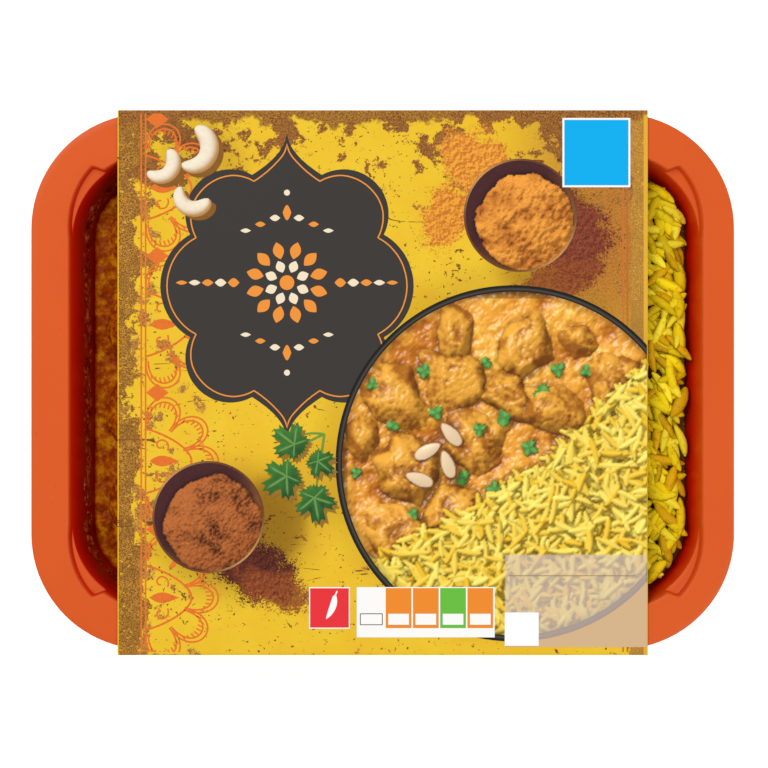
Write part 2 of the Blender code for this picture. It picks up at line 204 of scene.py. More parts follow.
def grid_faces(rows: int, columns: int, wrap: bool = False, start: int = 0) -> Array:
    """Quads of a grid whose points are numbered row by row.

    Args:
        rows: Number of point rows.
        columns: Number of points in a row.
        wrap: Whether each row closes on itself.
        start: Number of the first point.

    Returns:
        An (n, 4) array of point numbers, anticlockwise where rows run up and columns right.
    """
    i = np.arange(rows - 1)[:, None]
    j = np.arange(columns if wrap else columns - 1)[None, :]
    after = (j + 1) % columns
    quads = [i * columns + j, i * columns + after, (i + 1) * columns + after, (i + 1) * columns + j]
    return np.stack([np.broadcast_to(q, (rows - 1, j.size)).ravel() for q in quads], axis=1) + start


def mesh_object(name: str, points: Array, faces: list[Array], materials: list[Material],
                slots: Array | None = None, colours: Array | None = None,
                sharp_angle: float = 40.0) -> Piece:
    """Put arrays into a mesh object that sits at the origin.

    Args:
        name: Object name.
        points: (n, 3) places in millimetres.
        faces: Arrays of point numbers, one array for each face size.
        materials: Materials in slot order.
        slots: Material slot of each face, or None for the first.
        colours: (n, 3) linear colours for the points' ink attribute.
        sharp_angle: Edges bent by more than this many degrees stay sharp.

    Returns:
        The new object, linked to the scene.
    """
    mesh = bpy.data.meshes.new(name)
    mesh.vertices.add(len(points))
    mesh.vertices.foreach_set("co", (np.asarray(points, np.float32) * TO_METRES).ravel())
    loops = np.concatenate([face.ravel() for face in faces]).astype(np.int32)
    totals = np.concatenate([np.full(len(face), face.shape[1]) for face in faces])
    starts = np.concatenate([[0], np.cumsum(totals)[:-1]]).astype(np.int32)
    mesh.loops.add(len(loops))
    mesh.loops.foreach_set("vertex_index", loops)
    mesh.polygons.add(len(starts))
    mesh.polygons.foreach_set("loop_start", starts)
    if slots is not None:
        mesh.polygons.foreach_set("material_index", np.asarray(slots, np.int32))
    if colours is not None:
        layer = mesh.color_attributes.new("ink", "FLOAT_COLOR", "POINT")
        rgba = np.ones((len(points), 4), np.float32)
        rgba[:, :3] = colours
        layer.data.foreach_set("color", rgba.ravel())
    for material in materials:
        mesh.materials.append(material)
    mesh.update(calc_edges=True)
    mesh.validate()
    mesh.shade_smooth()
    mesh.set_sharp_from_angle(angle=math.radians(sharp_angle))
    return place_object(name, mesh)


def merge_points(obj: Piece, distance: float = 0.002) -> None:
    """Weld points closer than a distance in millimetres, drop flat faces and turn faces outwards."""
    bm = bmesh.new()
    bm.from_mesh(obj.data)
    bmesh.ops.remove_doubles(bm, verts=bm.verts, dist=distance * TO_METRES)
    bmesh.ops.dissolve_degenerate(bm, edges=bm.edges, dist=distance * TO_METRES / 4)
    bmesh.ops.recalc_face_normals(bm, faces=bm.faces)
    bm.to_mesh(obj.data)
    bm.free()


def add_node(tree: bpy.types.NodeTree, kind: str, inputs: dict | None = None,
             stops: tuple | None = None, **settings) -> bpy.types.Node:
    """Add a shader node with its settings, values and links.

    Args:
        tree: The material's node tree.
        kind: The node's type name.
        inputs: Socket name or number to a value, or to the wire that feeds it.
        stops: Places and colours of a colour ramp.
        settings: The node's own properties.

    Returns:
        The new node.
    """
    item = tree.nodes.new(kind)
    for key, value in settings.items():
        setattr(item, key, value)
    for index, (place, colour) in enumerate(stops or ()):
        if index == len(item.color_ramp.elements):
            item.color_ramp.elements.new(1.0)
        element = item.color_ramp.elements[index]
        element.position, element.color = place, (*linear(colour), 1.0)
    for key, value in (inputs or {}).items():
        if isinstance(value, Wire):
            tree.links.new(value.socket, item.inputs[key])
        else:
            item.inputs[key].default_value = value
    return item


@dataclass(frozen=True)
class Wire:
    """A shader value, place or colour: an output that can be summed, scaled, eased and mixed."""

    tree: bpy.types.NodeTree
    socket: bpy.types.NodeSocket

    def feed(self, kind: str, inputs: dict, output: int = 0, **settings) -> Wire:
        """An output of a new node."""
        return Wire(self.tree, add_node(self.tree, kind, inputs, **settings).outputs[output])

    def maths(self, operation: str, other: Wire | float = 0.0) -> Wire:
        """One Math node on this value and another."""
        return self.feed("ShaderNodeMath", {0: self, 1: other}, operation=operation)

    def __add__(self, other: Wire | float) -> Wire:
        """Sum."""
        return self.maths("ADD", other)

    def __sub__(self, other: Wire | float) -> Wire:
        """Difference."""
        return self.maths("SUBTRACT", other)

    def __mul__(self, other: Wire | float) -> Wire:
        """Product."""
        return self.maths("MULTIPLY", other)

    def mask(self, low: float, high: float, strength: float = 1.0) -> Wire:
        """This value eased from 0 at low to strength at high."""
        return self.feed("ShaderNodeMapRange", {0: self, 1: low, 2: high, 3: 0.0, 4: strength},
                         interpolation_type="SMOOTHSTEP")

    def noise(self, size: float, detail: float = 3.0, rough: float = 0.55) -> Wire:
        """Noise at this place whose features are about size millimetres across."""
        return self.feed("ShaderNodeTexNoise", {"Vector": self, "Scale": 1.0 / size, "Detail": detail,
                                                "Roughness": rough})

    def mapped(self, kind: str = "POINT", **values: tuple) -> Wire:
        """This place moved, turned or scaled."""
        return self.feed("ShaderNodeMapping", {"Vector": self, **values}, vector_type=kind)

    def length(self) -> Wire:
        """Distance of this place from the origin."""
        return self.feed("ShaderNodeVectorMath", {0: self}, 1, operation="LENGTH")

    def axes(self) -> list[Wire]:
        """The three coordinates of this place."""
        split = add_node(self.tree, "ShaderNodeSeparateXYZ", {0: self})
        return [Wire(self.tree, socket) for socket in split.outputs]

    def mix(self, amount: Wire | float, first: Tone, second: Tone, blend: str = "MIX") -> Wire:
        """Two colours mixed by an amount."""
        ready = [tone if isinstance(tone, Wire) else (*as_light(tone), 1.0) for tone in (first, second)]
        return self.feed("ShaderNodeMix", {0: amount, 6: ready[0], 7: ready[1]}, 2, data_type="RGBA",
                         blend_type=blend)

    def between(self, first: Tone, second: Tone) -> Wire:
        """Two colours mixed by this value."""
        return self.mix(self, first, second)

    def towards(self, other: Tone, amount: Wire | float) -> Wire:
        """This colour mixed with another by an amount."""
        return self.mix(amount, self, other)

    def coats(self, *layers: tuple[Tone, Wire | float]) -> Wire:
        """This colour under further ones, each a colour and its share."""
        colour = self
        for tone, share in layers:
            colour = colour.towards(tone, share)
        return colour

    def times(self, other: Tone) -> Wire:
        """This colour multiplied by another."""
        return self.mix(1.0, self, other, "MULTIPLY")


class Dressing:
    """A material in the making: its Principled shader and Object coordinates in millimetres."""

    def __init__(self, name: str, **values: float | tuple) -> None:
        """Begin the material.

        Args:
            name: The real material's name.
            values: Constant values of the shader's sockets, with _ for a space.
        """
        self.material = bpy.data.materials.new(name)
        self.material.use_nodes = True
        self.tree = self.material.node_tree
        self.shader = self.tree.nodes["Principled BSDF"]
        for socket, value in values.items():
            self.shader.inputs[socket.replace("_", " ")].default_value = value
        place = Wire(self.tree, add_node(self.tree, "ShaderNodeTexCoord").outputs["Object"])
        self.where = place.mapped(Scale=(1000.0,) * 3)

    def ink(self) -> Wire:
        """The mesh's own colour at each point."""
        return Wire(self.tree, add_node(self.tree, "ShaderNodeAttribute", attribute_name="ink").outputs[0])

    def done(self, colour: Wire, height: Wire | None = None, depth: float = 0.0,
             strength: float = 1.0) -> Material:
        """Link the colour and a bump whose height of 1 is depth millimetres, and return the material."""
        self.tree.links.new(colour.socket, self.shader.inputs["Base Color"])
        if height:
            bump = height.feed("ShaderNodeBump", {"Height": height, "Distance": depth * TO_METRES,
                                                  "Strength": strength})
            self.tree.links.new(bump.socket, self.shader.inputs["Normal"])
        return self.material


@dataclass(frozen=True)
class FormedPolyester:
    """Crystallised polyester sheet, thermoformed: even orange, semi-gloss, faintly orange-peeled."""

    name: str = "formed_polyester_sheet"
    roughness: float = 0.36
    peel_mm: float = 2.2
    grain_mm: float = 0.35

    def build(self) -> Material:
        """Return the finish: the mesh's colour with its painted wall shade, soft clouds, dark specks and a
        mould texture.
        """
        dress = Dressing(self.name, Roughness=self.roughness, IOR=1.57, Specular_IOR_Level=0.15)
        where = dress.where
        colour = dress.ink().coats((Palette.TRAY_DEEP, where.noise(28.0, 2.0).mask(0.35, 0.65, 0.06)),
                                   ("#8E2D12", where.noise(0.9, 1.0).mask(0.76, 0.80, 0.3)))
        texture = where.noise(self.peel_mm, 2.0) + where.noise(self.grain_mm, 2.0) * 0.35
        return dress.done(colour, texture, 0.02, 0.5)


@dataclass(frozen=True)
class PrintedBoard:
    """Coated carton board, offset printed as worn painted wood and varnished."""

    name: str = "printed_varnished_board"
    half_length: float = 79.5
    half_width: float = 81.7

    def build(self) -> Material:
        """Return the ground: yellow paint with worn brown patches, specks, cracks and edge bands."""
        dress = Dressing(self.name, Roughness=0.45, Specular_IOR_Level=0.12)
        return dress.done(*self.ground(dress.where), 0.012, 0.35)

    def ground(self, where: Wire) -> tuple[Wire, Wire]:
        """Build the worn paint, and return its colour and a height for its fibres."""
        x, y, z = where.axes()
        broad, patch = where.noise(30.0), where.noise(8.5, 7.0, 0.68)
        grit, fleck = where.noise(0.5, 3.0, 0.75), where.noise(1.35, 3.0, 0.65)
        warm = x.mask(30.0, 66.0) * y.mask(-8.0, 34.0, 0.9)
        wear = patch + (grit - 0.5) * 0.07 + y.mask(38.0, 84.0, 0.145)
        wear = wear + x.mask(-46.0, -74.0, 0.10) + warm * 0.05
        ochre = grit.mask(0.40, 0.60).between("#CB9440", "#96602A")
        umber = grit.mask(0.38, 0.62).between("#AA712F", "#7C4A22")
        paint = broad.mask(0.36, 0.64).between(Palette.PAINT, Palette.PAINT_LIGHT).coats(
            (Palette.PAINT_DULL, patch.mask(0.42, 0.66, 0.45)),
            (grit.mask(0.4, 0.62).between("#C07A30", "#9C5626"), warm),
            (ochre.towards(umber, y.mask(46.0, 66.0)), wear.mask(0.640, 0.665)),
            (Palette.SPECK, (fleck + (broad - 0.5) * 0.22).mask(0.648, 0.672, 0.9)))
        band = where.noise(0.34, 2.0, 0.7).mask(0.40, 0.60).between("#C88E36", "#744616").coats(
            ("#7E5622", where.noise(5.0).mask(0.42, 0.62, 0.4)), ("#E2B634", fleck.mask(0.635, 0.665, 0.85)))
        uneven = (where.noise(11.0, 5.0, 0.6) - 0.5) * 38.0 + (grit - 0.5) * 3.5 + (patch - 0.5) * 10.0
        from_left, from_right = x + self.half_length, x * -1.0 + self.half_length
        from_top, face = y * -1.0 + self.half_width + uneven * 0.5, z.mask(36.0, 40.0)
        wave = where.mapped(Rotation=(0, 0, 0.42), Scale=(0.16, 1.0, 1.0)).noise(17.0) - 0.5
        crack = wave.maths("ABSOLUTE").mask(0.005, 0.0015) * where.noise(5.0, 4.0).mask(0.52, 0.60)
        colour = paint.coats(
            (band, (from_left + uneven).mask(6.9, 6.2)),
            (band.towards("#DCA444", 0.35), (from_right + uneven * 0.14).mask(5.6, 4.9)),
            ("#E4AE36", from_right.mask(1.3, 1.15)),
            (grit.mask(0.42, 0.58).between("#B2762F", "#683A1C"), from_top.mask(3.6, 2.2, 0.92) * face),
            (Palette.PAINT, from_left.mask(0.38, 0.25)), (Palette.WORN_DARK, crack))
        dressed = colour
        for layer in (*SOFT_SHADOWS, *SPLASHES):
            dressed = layer.lay(where, dressed)
        return colour.towards(dressed, face), grit


@dataclass(frozen=True)
class SoftShadow:
    """A printed shadow on the ground: full within its reach, then faded out softly."""

    centre: Place
    reach: Place
    strength: float
    fade: float = 0.45

    def lay(self, where: Wire, colour: Wire) -> Wire:
        """Darken a colour towards warm brown by the shadow's share."""
        away = where.mapped("TEXTURE", Location=(*self.centre, 0.0), Scale=(*self.reach, 1e6)).length()
        return colour.towards(colour.times((0.50, 0.42, 0.38)),
                              away.mask(1.0 + self.fade, 1.0 - self.fade, self.strength))


SOFT_SHADOWS = (
    SoftShadow((-44.5, -44.5), (22.0, 18.0), 0.9),
    SoftShadow((-33.0, -41.5), (10.0, 13.0), 0.7, 0.25),
    SoftShadow((48.5, 43.5), (17.0, 17.0), 0.6, 0.25),
    SoftShadow((-20.0, -31.0), (12.0, 12.0), 0.25),
    SoftShadow((-54.0, 66.5), (12.0, 12.0), 0.45),
    SoftShadow((35.5, -20.5), (55.0, 55.0), 0.3, 0.1),
)


@dataclass(frozen=True)
class SpiceSplash:
    """Spilt powder printed on the ground: a ragged, grainy, lumpy patch round a centre."""

    centre: Place
    size: Place
    turn: float
    light: str
    dark: str
    cover: float = 1.0
    lumps: float = 0.35

    def lay(self, where: Wire, colour: Wire) -> Wire:
        """Mix the powder over a colour: its lumps lit from the upper left, its rim broken into grains."""
        local = where.mapped("TEXTURE", Location=(*self.centre, 0.0), Rotation=(0, 0, self.turn),
                             Scale=(*self.size, 1e6))
        grains = where.noise(0.55, 2.0, 0.75) - 0.5
        reach = local.length() + (where.noise(6.5, 4.0) - 0.5) * 1.5 + grains * 1.3
        uphill = where.mapped(Location=(-0.4, 0.45, 0.0))
        slope = (where.noise(1.7, 4.0, 0.62) - uphill.noise(1.7, 4.0, 0.62)) * self.lumps + grains * 0.35
        return colour.towards(slope.mask(-0.1, 0.1).between(self.dark, self.light),
                              reach.mask(1.0, 0.78, self.cover))


SPLASHES = (
    SpiceSplash((27.5, 65.0), (10.5, 12.0), 0.3, "#F4A83C", "#CC7426", 1.0, 1.0),
    SpiceSplash((19.0, 50.0), (8.5, 11.5), -0.4, "#F2A438", "#C66E24", 0.95, 1.0),
    SpiceSplash((57.5, 43.0), (12.5, 14.5), 0.5, "#9A4C2E", "#5E281E"),
    SpiceSplash((54.0, 31.0), (14.0, 5.5), 0.2, "#A55526", "#6E3220", 0.85),
    SpiceSplash((-39.5, -56.0), (14.5, 10.5), -0.5, "#6E3020", "#341410"),
    SpiceSplash((-32.5, -62.5), (13.5, 6.5), -0.35, "#A8582C", "#6A3018", 0.9),
)


@dataclass(frozen=True)
class RawBoard:
    """Uncoated back and cut edge of the carton board: grey-cream pulp with fine fibres."""

    name: str = "raw_grey_board"

    def build(self) -> Material:
        """Return the finish: matte, mottled by fibres about a millimetre long."""
        dress = Dressing(self.name, Roughness=0.85)
        fibre = dress.where.mapped(Scale=(0.4, 1.6, 1.0)).noise(0.7, 4.0)
        return dress.done(fibre.mask(0.35, 0.65).between("#B9B1A0", "#D6D0C2"), fibre, 0.02, 0.4)


@dataclass(frozen=True)
class PrintInk:
    """Offset ink over the board: its colour is each shape's own, with grain and scuffs."""

    name: str
    grain_mm: float = 0.5
    grain: float = 0.25
    scuffs: float = 0.0
    roughness: float = 0.42

    def build(self) -> Material:
        """Return the ink: the shapes' colours, darkened in fine grains and worn away in flecks."""
        dress = Dressing(self.name, Roughness=self.roughness, Specular_IOR_Level=0.12)
        ink, where = dress.ink(), dress.where
        grit = where.noise(self.grain_mm, 3.0, 0.7).mask(0.35, 0.68)
        tone = ink.times((1.22, 1.22, 1.16)).towards(ink.times((0.42, 0.34, 0.28)), grit)
        colour = ink.towards(tone, self.grain)
        if self.scuffs > 0:
            colour = colour.towards(Palette.WORN, where.noise(1.5, 4.0, 0.7).mask(0.60, 0.64, self.scuffs))
        return dress.done(colour)


@dataclass(frozen=True)
class KormaSauce:
    """Oily spiced sauce: golden brown, wet, darker and redder in the hollows of its bump."""

    name: str
    light: Palette = Palette.SAUCE_LIGHT
    middle: Palette = Palette.SAUCE
    dark: Palette = Palette.SAUCE_DARK
    lump_mm: float = 2.5
    gloss: float = 0.03
    tinted: bool = False

    def build(self) -> Material:
        """Return the finish: mottled browns, tiny dark spice specks and a thin oily coat."""
        dress = Dressing(self.name, Specular_IOR_Level=0.03, Coat_Weight=self.gloss, Coat_Roughness=0.15,
                         Subsurface_Weight=0.12, Subsurface_Radius=(0.004, 0.0015, 0.0004),
                         Subsurface_Scale=0.5)
        where = dress.where
        lumps, fine = where.noise(self.lump_mm, 5.0, 0.62), where.noise(0.8, 3.0, 0.6)
        mottled = lumps * 0.6 + where.noise(self.lump_mm * 2.2) * 0.4
        colour = mottled.feed("ShaderNodeValToRGB", {0: mottled},
                              stops=((0.40, self.dark), (0.49, self.middle), (0.60, self.light)))
        colour = colour.coats(("#3A1705", where.noise(0.7, 1.0).mask(0.70, 0.74, 0.8)),
                              ("#3E4A0C", where.noise(1.6, 2.0).mask(0.735, 0.75, 0.9)),
                              (Palette.OIL, where.noise(4.5, 2.0).mask(0.55, 0.68, 0.5)))
        # The mesh's ink brings the sauce's painted shade along the wall.
        if self.tinted:
            colour = colour.times(dress.ink())
        damp = fine.feed("ShaderNodeMapRange", {0: fine, 1: 0.3, 2: 0.7, 3: 0.4, 4: 0.8})
        dress.tree.links.new(damp.socket, dress.shader.inputs["Roughness"])
        return dress.done(colour, lumps + fine * 0.3, 0.5, 0.7)


@dataclass(frozen=True)
class PilauRice:
    """Cooked long rice, dyed with turmeric: bright yellow, moist and slightly translucent."""

    name: str = "cooked_pilau_rice"

    def build(self) -> Material:
        """Return the finish: the yellow from the mesh, with painted shade under the grains, a soft inner glow
        and a damp sheen.
        """
        dress = Dressing(self.name, Roughness=0.45, Specular_IOR_Level=0.08, Subsurface_Weight=0.12,
                         Subsurface_Radius=(0.003, 0.002, 0.0006), Subsurface_Scale=0.6, Coat_Weight=0.04,
                         Coat_Roughness=0.15)
        cloud = dress.where.noise(1.6)
        colour = dress.ink().coats((Palette.RICE_LIGHT, cloud.mask(0.5, 0.8, 0.5)),
                                   (Palette.RICE_SHADE, cloud.mask(0.46, 0.3, 0.35)))
        return dress.done(colour, dress.where.noise(0.5, 2.0), 0.03, 0.4)


@dataclass(frozen=True)
class StudioPaper:
    """Seamless white paper on a light table: matte, faintly lit from below, with a slight tooth."""

    name: str = "studio_paper"
    glow: float = 0.5

    def build(self) -> Material:
        """Return the finish."""
        dress = Dressing(self.name, Roughness=0.9, Emission_Color=(1.0, 1.0, 1.0, 1.0),
                         Emission_Strength=self.glow)
        tooth = dress.where.noise(1.2, 2.0)
        return dress.done(tooth.mask(0.3, 0.7, 0.2).between(Palette.FLOOR, "#FAFAF8"), tooth, 0.02, 0.2)


def finish_piece(obj: Piece, replaced: tuple[str, ...] = ()) -> Piece:
    """Let a piece ride on the object's body and log it.

    Args:
        obj: The piece.
        replaced: The nodes that it stands for.

    Returns:
        The same piece.
    """
    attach(obj, BODY)
    if replaced:
        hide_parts(*replaced)
    LOG.info("built %s: %d points, %d faces", obj.name, len(obj.data.vertices), len(obj.data.polygons))
    return obj


@dataclass
class Well:
    """One compartment of the tray, in its own u (towards the tray's end) and v (across)."""

    side: int
    near: float
    far: float
    # Colours of painted shade on this well's wall, by depth below the flange.
    tones: tuple[str, ...]
    half_width: float = 69.0
    corner: float = 26.0
    divider_corner: float = 15.0
    divider_taper: float = 0.6
    steepness: float = 0.55
    draft: float = math.radians(22.0)
    rim_radius: float = 1.0

    def inset(self, depth: Array | float) -> Array | float:
        """Distance that the end wall has moved in at a depth: the rim's roll, then the draft."""
        angle = math.pi / 2 - self.draft
        below = depth - self.rim_radius * (1 - math.cos(angle))
        return self.rim_radius * math.sin(angle) + below * math.tan(self.draft)

    def clearance(self, x: Array, y: Array, depth: Array | float) -> Array:
        """Distance to the wall at a depth, positive inside: that of a rectangle with round corners."""
        inset = self.inset(depth)
        near, far = self.near + inset * self.steepness, self.far - inset
        radius = self.corner - inset
        qx = np.abs(self.side * x - (near + far) / 2) - (far - near) / 2 + radius
        qy = np.abs(y) - self.half_width + inset + radius
        return radius - np.hypot(np.maximum(qx, 0), np.maximum(qy, 0)) - np.minimum(np.maximum(qx, qy), 0)

    def end_reach(self, y: Array, depth: float, margin: float = 0.0) -> tuple[Array, Array]:
        """Lowest and highest u inside the well at y and a depth, its corners being arcs.

        Args:
            y: Places across the well.
            depth: Depth below the flange.
            margin: Distance kept to the wall.

        Returns:
            The near and the far reach.
        """
        inset = self.inset(depth) + margin

        def held_back(radius: float) -> Array:
            """How far a corner's arc holds the end back from its straight wall."""
            over = np.clip(np.abs(y) - (self.half_width - inset - radius), 0, radius)
            return radius - np.sqrt(radius ** 2 - over ** 2)

        near = self.near + self.inset(depth) * self.steepness + margin
        return (near + held_back(self.divider_corner - inset * self.divider_taper),
                self.far - inset - held_back(self.corner - inset))

    def lattice(self, count: int, share: Array, depth: float, margin: float) -> tuple[Array, Array]:
        """Places in the well at a depth, in rows across it that run from the divider to the end wall.

        Args:
            count: Number of rows.
            share: Shares of each row's reach.
            depth: Depth below the flange.
            margin: Distance kept to the wall.

        Returns:
            x and y, a row for each place across the well.
        """
        half = self.half_width - self.inset(depth) - margin
        y = np.linspace(-1, 1, count) * half * 0.9995
        near, far = self.end_reach(y, depth, margin)
        u = near[:, None] * (1 - share) + far[:, None] * share
        return self.side * u, y[:, None] + 0 * u


RING_SHARES = (np.linspace(0, 1, 15)[:-1], np.linspace(0, 1, 13)[1:-1], np.linspace(0, 1, 13),
               np.linspace(1, 0, 11)[1:])
# Painted shade of the tray's walls: each well's colour at these depths below the flange, darker and redder
# deeper down.
WALL_SHADE_DEPTHS = (0.0, 2.0, 4.3, 6.5, 9.0, 40.0)
CURRY_WALL_SHADE = ("#DD5A22", "#D41800", "#C60600", "#B20000", "#A00000", "#900000")
RICE_WALL_SHADE = ("#DD5A22", "#D84208", "#D43600", "#CE2200", "#C00A00", "#900000")


@dataclass
class FormedTray:
    """The thermoformed tray: one sheet with a flat flange, two wells and four corner ledges."""

    flange_corner: float = 34.6
    wall: float = 0.7
    base_radius: float = 7.0
    ledge_depth: float = 2.8
    ledge_bulge: float = 3.2
    ledge_end: float = 50.0
    ledge_close: float = 5.0
    divider_centre: float = 8.0
    divider_width: float = 8.0
    curry_end: float = 95.0
    rice_end: float = 96.8
    finish: FormedPolyester = field(default_factory=FormedPolyester)

    def __post_init__(self) -> None:
        """Read the tray's place from the frame and set up its two wells."""
        low, high = box_mm("tray")
        self.half_length, _, self.top = high
        self.half_width = (high[1] - low[1]) / 2
        self.centre_y = (high[1] + low[1]) / 2
        self.depth = high[2] - low[2] - self.wall
        half = self.divider_width / 2
        self.curry_well = Well(-1, half - self.divider_centre, self.curry_end, CURRY_WALL_SHADE)
        self.rice_well = Well(1, half + self.divider_centre, self.rice_end, RICE_WALL_SHADE)

    def profile(self, well: Well) -> tuple[Array, Array, Array]:
        """Inset, depth and ledge bulge from the rim to the base.

        The rim is an arc of 68 degrees, then the wall falls at its draft. Across the ledge's
        depth the bulge goes to nothing, which makes the ledge's tread, and an arc ends the wall.

        Args:
            well: The compartment.

        Returns:
            Three arrays of the same length.
        """
        angle = math.pi / 2 - well.draft
        roll, toe = np.linspace(0, angle, 7), np.linspace(angle, 0, 9)[1:]
        start = self.depth - self.base_radius * (1 - math.cos(angle))
        tread = self.ledge_depth + np.array([-0.35, -0.12, 0.0, 0.05, 0.1, 0.2, 0.45, 1.0])
        down = np.concatenate([[1.3, 2.0], tread, np.linspace(self.ledge_depth + 1.0, start, 14)[1:]])
        bulge = np.zeros(len(roll) + len(down) + len(toe))
        bulge[:len(roll) + 8] = np.append(np.ones(len(roll) + 2), (1.0, 0.95, 0.82, 0.5, 0.18, 0.05))
        inset = (well.rim_radius * np.sin(roll), well.inset(down),
                 well.inset(start) + self.base_radius * (math.sin(angle) - np.sin(toe)))
        depth = (well.rim_radius * (1 - np.cos(roll)), down,
                 start + self.base_radius * (np.cos(toe) - math.cos(angle)))
        return np.concatenate(inset), np.concatenate(depth), self.ledge_bulge * bulge

    def corner_angles(self) -> Array:
        """Degrees through an outer corner, with more of them where its ledge closes."""
        before, after = self.ledge_end - 6, self.ledge_end + self.ledge_close + 1
        return np.concatenate([np.linspace(0, before, 16)[:-1], np.linspace(before, after, 15)[:-1],
                               np.linspace(after, 90, 9)])

    def quarter(self, far: Array | float, near: Array | float, half: Array | float, outer: Array | float,
                inner: Array | float, swell: Array | float, split: float | None = None) -> tuple[Array, Array]:
        """Half of a closed outline, from the end wall's middle to the divider's middle.

        It is five stretches: end wall, outer corner, long side, divider corner and divider
        wall. Each is a line or an arc whose sizes are arrays, so all depths come at once.

        Args:
            far: u of the end wall, one for each ring.
            near: u of the divider wall.
            half: Half width.
            outer: Outer corner radius.
            inner: Divider corner radius.
            swell: How far each ledge bulges out.
            split: u of the divider's middle for the flange's own outline, or None.

        Returns:
            u and v, a row for each ring.
        """
        far, near, half, outer, inner, swell = (np.atleast_1d(np.asarray(v, float))[:, None]
                                                for v in (far, near, half, outer, inner, swell))
        degrees = self.corner_angles()
        rise = ease(degrees, 0, self.ledge_end) * 0.35 + 0.65 * np.clip(degrees / self.ledge_end, 0, 1)
        shape = rise * (1 - ease(degrees, self.ledge_end - 1.0, self.ledge_end + self.ledge_close))
        turn, reach = np.radians(degrees), outer + swell * shape
        up, run, part, down = RING_SHARES
        stretches = [(far, up * (half - outer)),
                     (far - outer + reach * np.cos(turn), half - outer + reach * np.sin(turn)),
                     ((far - outer) * (1 - run) + (near + inner) * run, half)]
        if split is None:
            arc = np.pi / 2 * (1 + part)
            stretches += [(near + inner + inner * np.cos(arc), half - inner + inner * np.sin(arc)),
                          (near, down * (half - inner))]
        else:
            along, drop = np.clip(part * 2, 0, 1), np.clip(part * 2 - 1, 0, 1)
            stretches[2] = (stretches[2][0], self.half_width)
            stretches += [((near + inner) * (1 - along) + split * along,
                           self.half_width * (1 - drop) + (half - inner) * drop),
                          (split, down * (half - inner))]
        rows = [np.broadcast_arrays(*stretch, 0 * far)[:2] for stretch in stretches]
        return tuple(np.concatenate([row[i] for row in rows], axis=1) for i in (0, 1))

    def half_sheet(self, well: Well) -> tuple[Array, Array, Array]:
        """Points and faces of the flange and the well on one side of the divider's middle.

        Rings go from the flange's outline in to the rim, down the wall and over the base to
        its middle, where the last ring closes to a point.

        Args:
            well: The compartment.

        Returns:
            (n, 3) points, (m, 4) faces and (n, 3) colours, which hold the painted shade of the walls.
        """
        inset, depth, bulge = self.profile(well)
        u, v = self.quarter(well.far - inset, well.near + inset * well.steepness, well.half_width - inset,
                            well.corner - inset, well.divider_corner - inset * well.divider_taper, bulge)
        edge_u, edge_v = self.quarter(self.half_length, well.near, well.half_width, self.flange_corner,
                                      well.divider_corner, 0.0, well.near - self.divider_width / 2)
        up, turn = RING_SHARES[0], np.radians(self.corner_angles())
        straight = self.half_width - self.flange_corner
        edge_v[0, :len(up)] = up * straight
        edge_v[0, len(up):len(up) + len(turn)] = straight + self.flange_corner * np.sin(turn)
        share, shrink = np.linspace(0, 1, 6)[:-1, None], np.linspace(1, 0, 9)[1:, None]
        centre = (u[-1].max() + u[-1].min()) / 2
        u = np.concatenate([edge_u * (1 - share) + u[:1] * share, u, centre + (u[-1:] - centre) * shrink])
        v = np.concatenate([edge_v * (1 - share) + v[:1] * share, v, v[-1:] * shrink])
        z = np.concatenate([np.zeros(len(share)), depth, np.full(len(shrink), depth[-1])])[:, None] + 0 * u
        u, v, z = (np.concatenate([part, sign * part[:, -2:0:-1]], axis=1)
                   for part, sign in ((u, 1), (v, -1), (z, 1)))
        return (cloud_of(well.side * u, v + self.centre_y, self.top - z), grid_faces(*u.shape, wrap=True),
                self.tones(well, u, v, z).reshape(-1, 3))

    @staticmethod
    def tones(well: Well, u: Array, v: Array, z: Array) -> Array:
        """Painted shade on the sheet: orange where it lies flat, and a darker, redder shade painted the
        steeper and deeper it is.
        """
        drop = np.abs(np.diff(z, axis=0))
        run = np.hypot(np.diff(u, axis=0), np.diff(v, axis=0))
        steep = drop / np.maximum(np.hypot(drop, run), 1e-6)
        above, below = np.concatenate([steep[:1], steep]), np.concatenate([steep, steep[-1:]])
        steep = np.where(z < 0.6, 2.2 * np.maximum(above, below), np.minimum(above, below))
        reds = np.array([as_light(tone) for tone in well.tones])
        deep = np.stack([np.interp(z, WALL_SHADE_DEPTHS, reds[:, i]) for i in range(3)], axis=-1)
        return blend_colours(Palette.TRAY, deep, np.maximum(ease(steep, 0.12, 0.5), ease(z, 5, 12)))

    def build(self) -> Piece:
        """Join both halves, give the sheet its wall and round its cut edge."""
        first, second = self.half_sheet(self.curry_well), self.half_sheet(self.rice_well)
        points, _, tones = (np.concatenate(part) for part in zip(first, second))
        obj = mesh_object("tray_sheet", points, [first[1], second[1] + len(first[0])], [self.finish.build()],
                          colours=tones, sharp_angle=60)
        merge_points(obj)
        if max(obj.data.polygons, key=lambda face: face.center.z + 1e-3 * face.normal.z).normal.z < 0:
            obj.data.flip_normals()
        thicken(obj, self.wall).use_even_offset = True
        bevel = obj.modifiers.new("edge", "BEVEL")
        bevel.width, bevel.segments, bevel.angle_limit = 0.18 * TO_METRES, 2, math.radians(60)
        return finish_piece(obj, ("tray",))


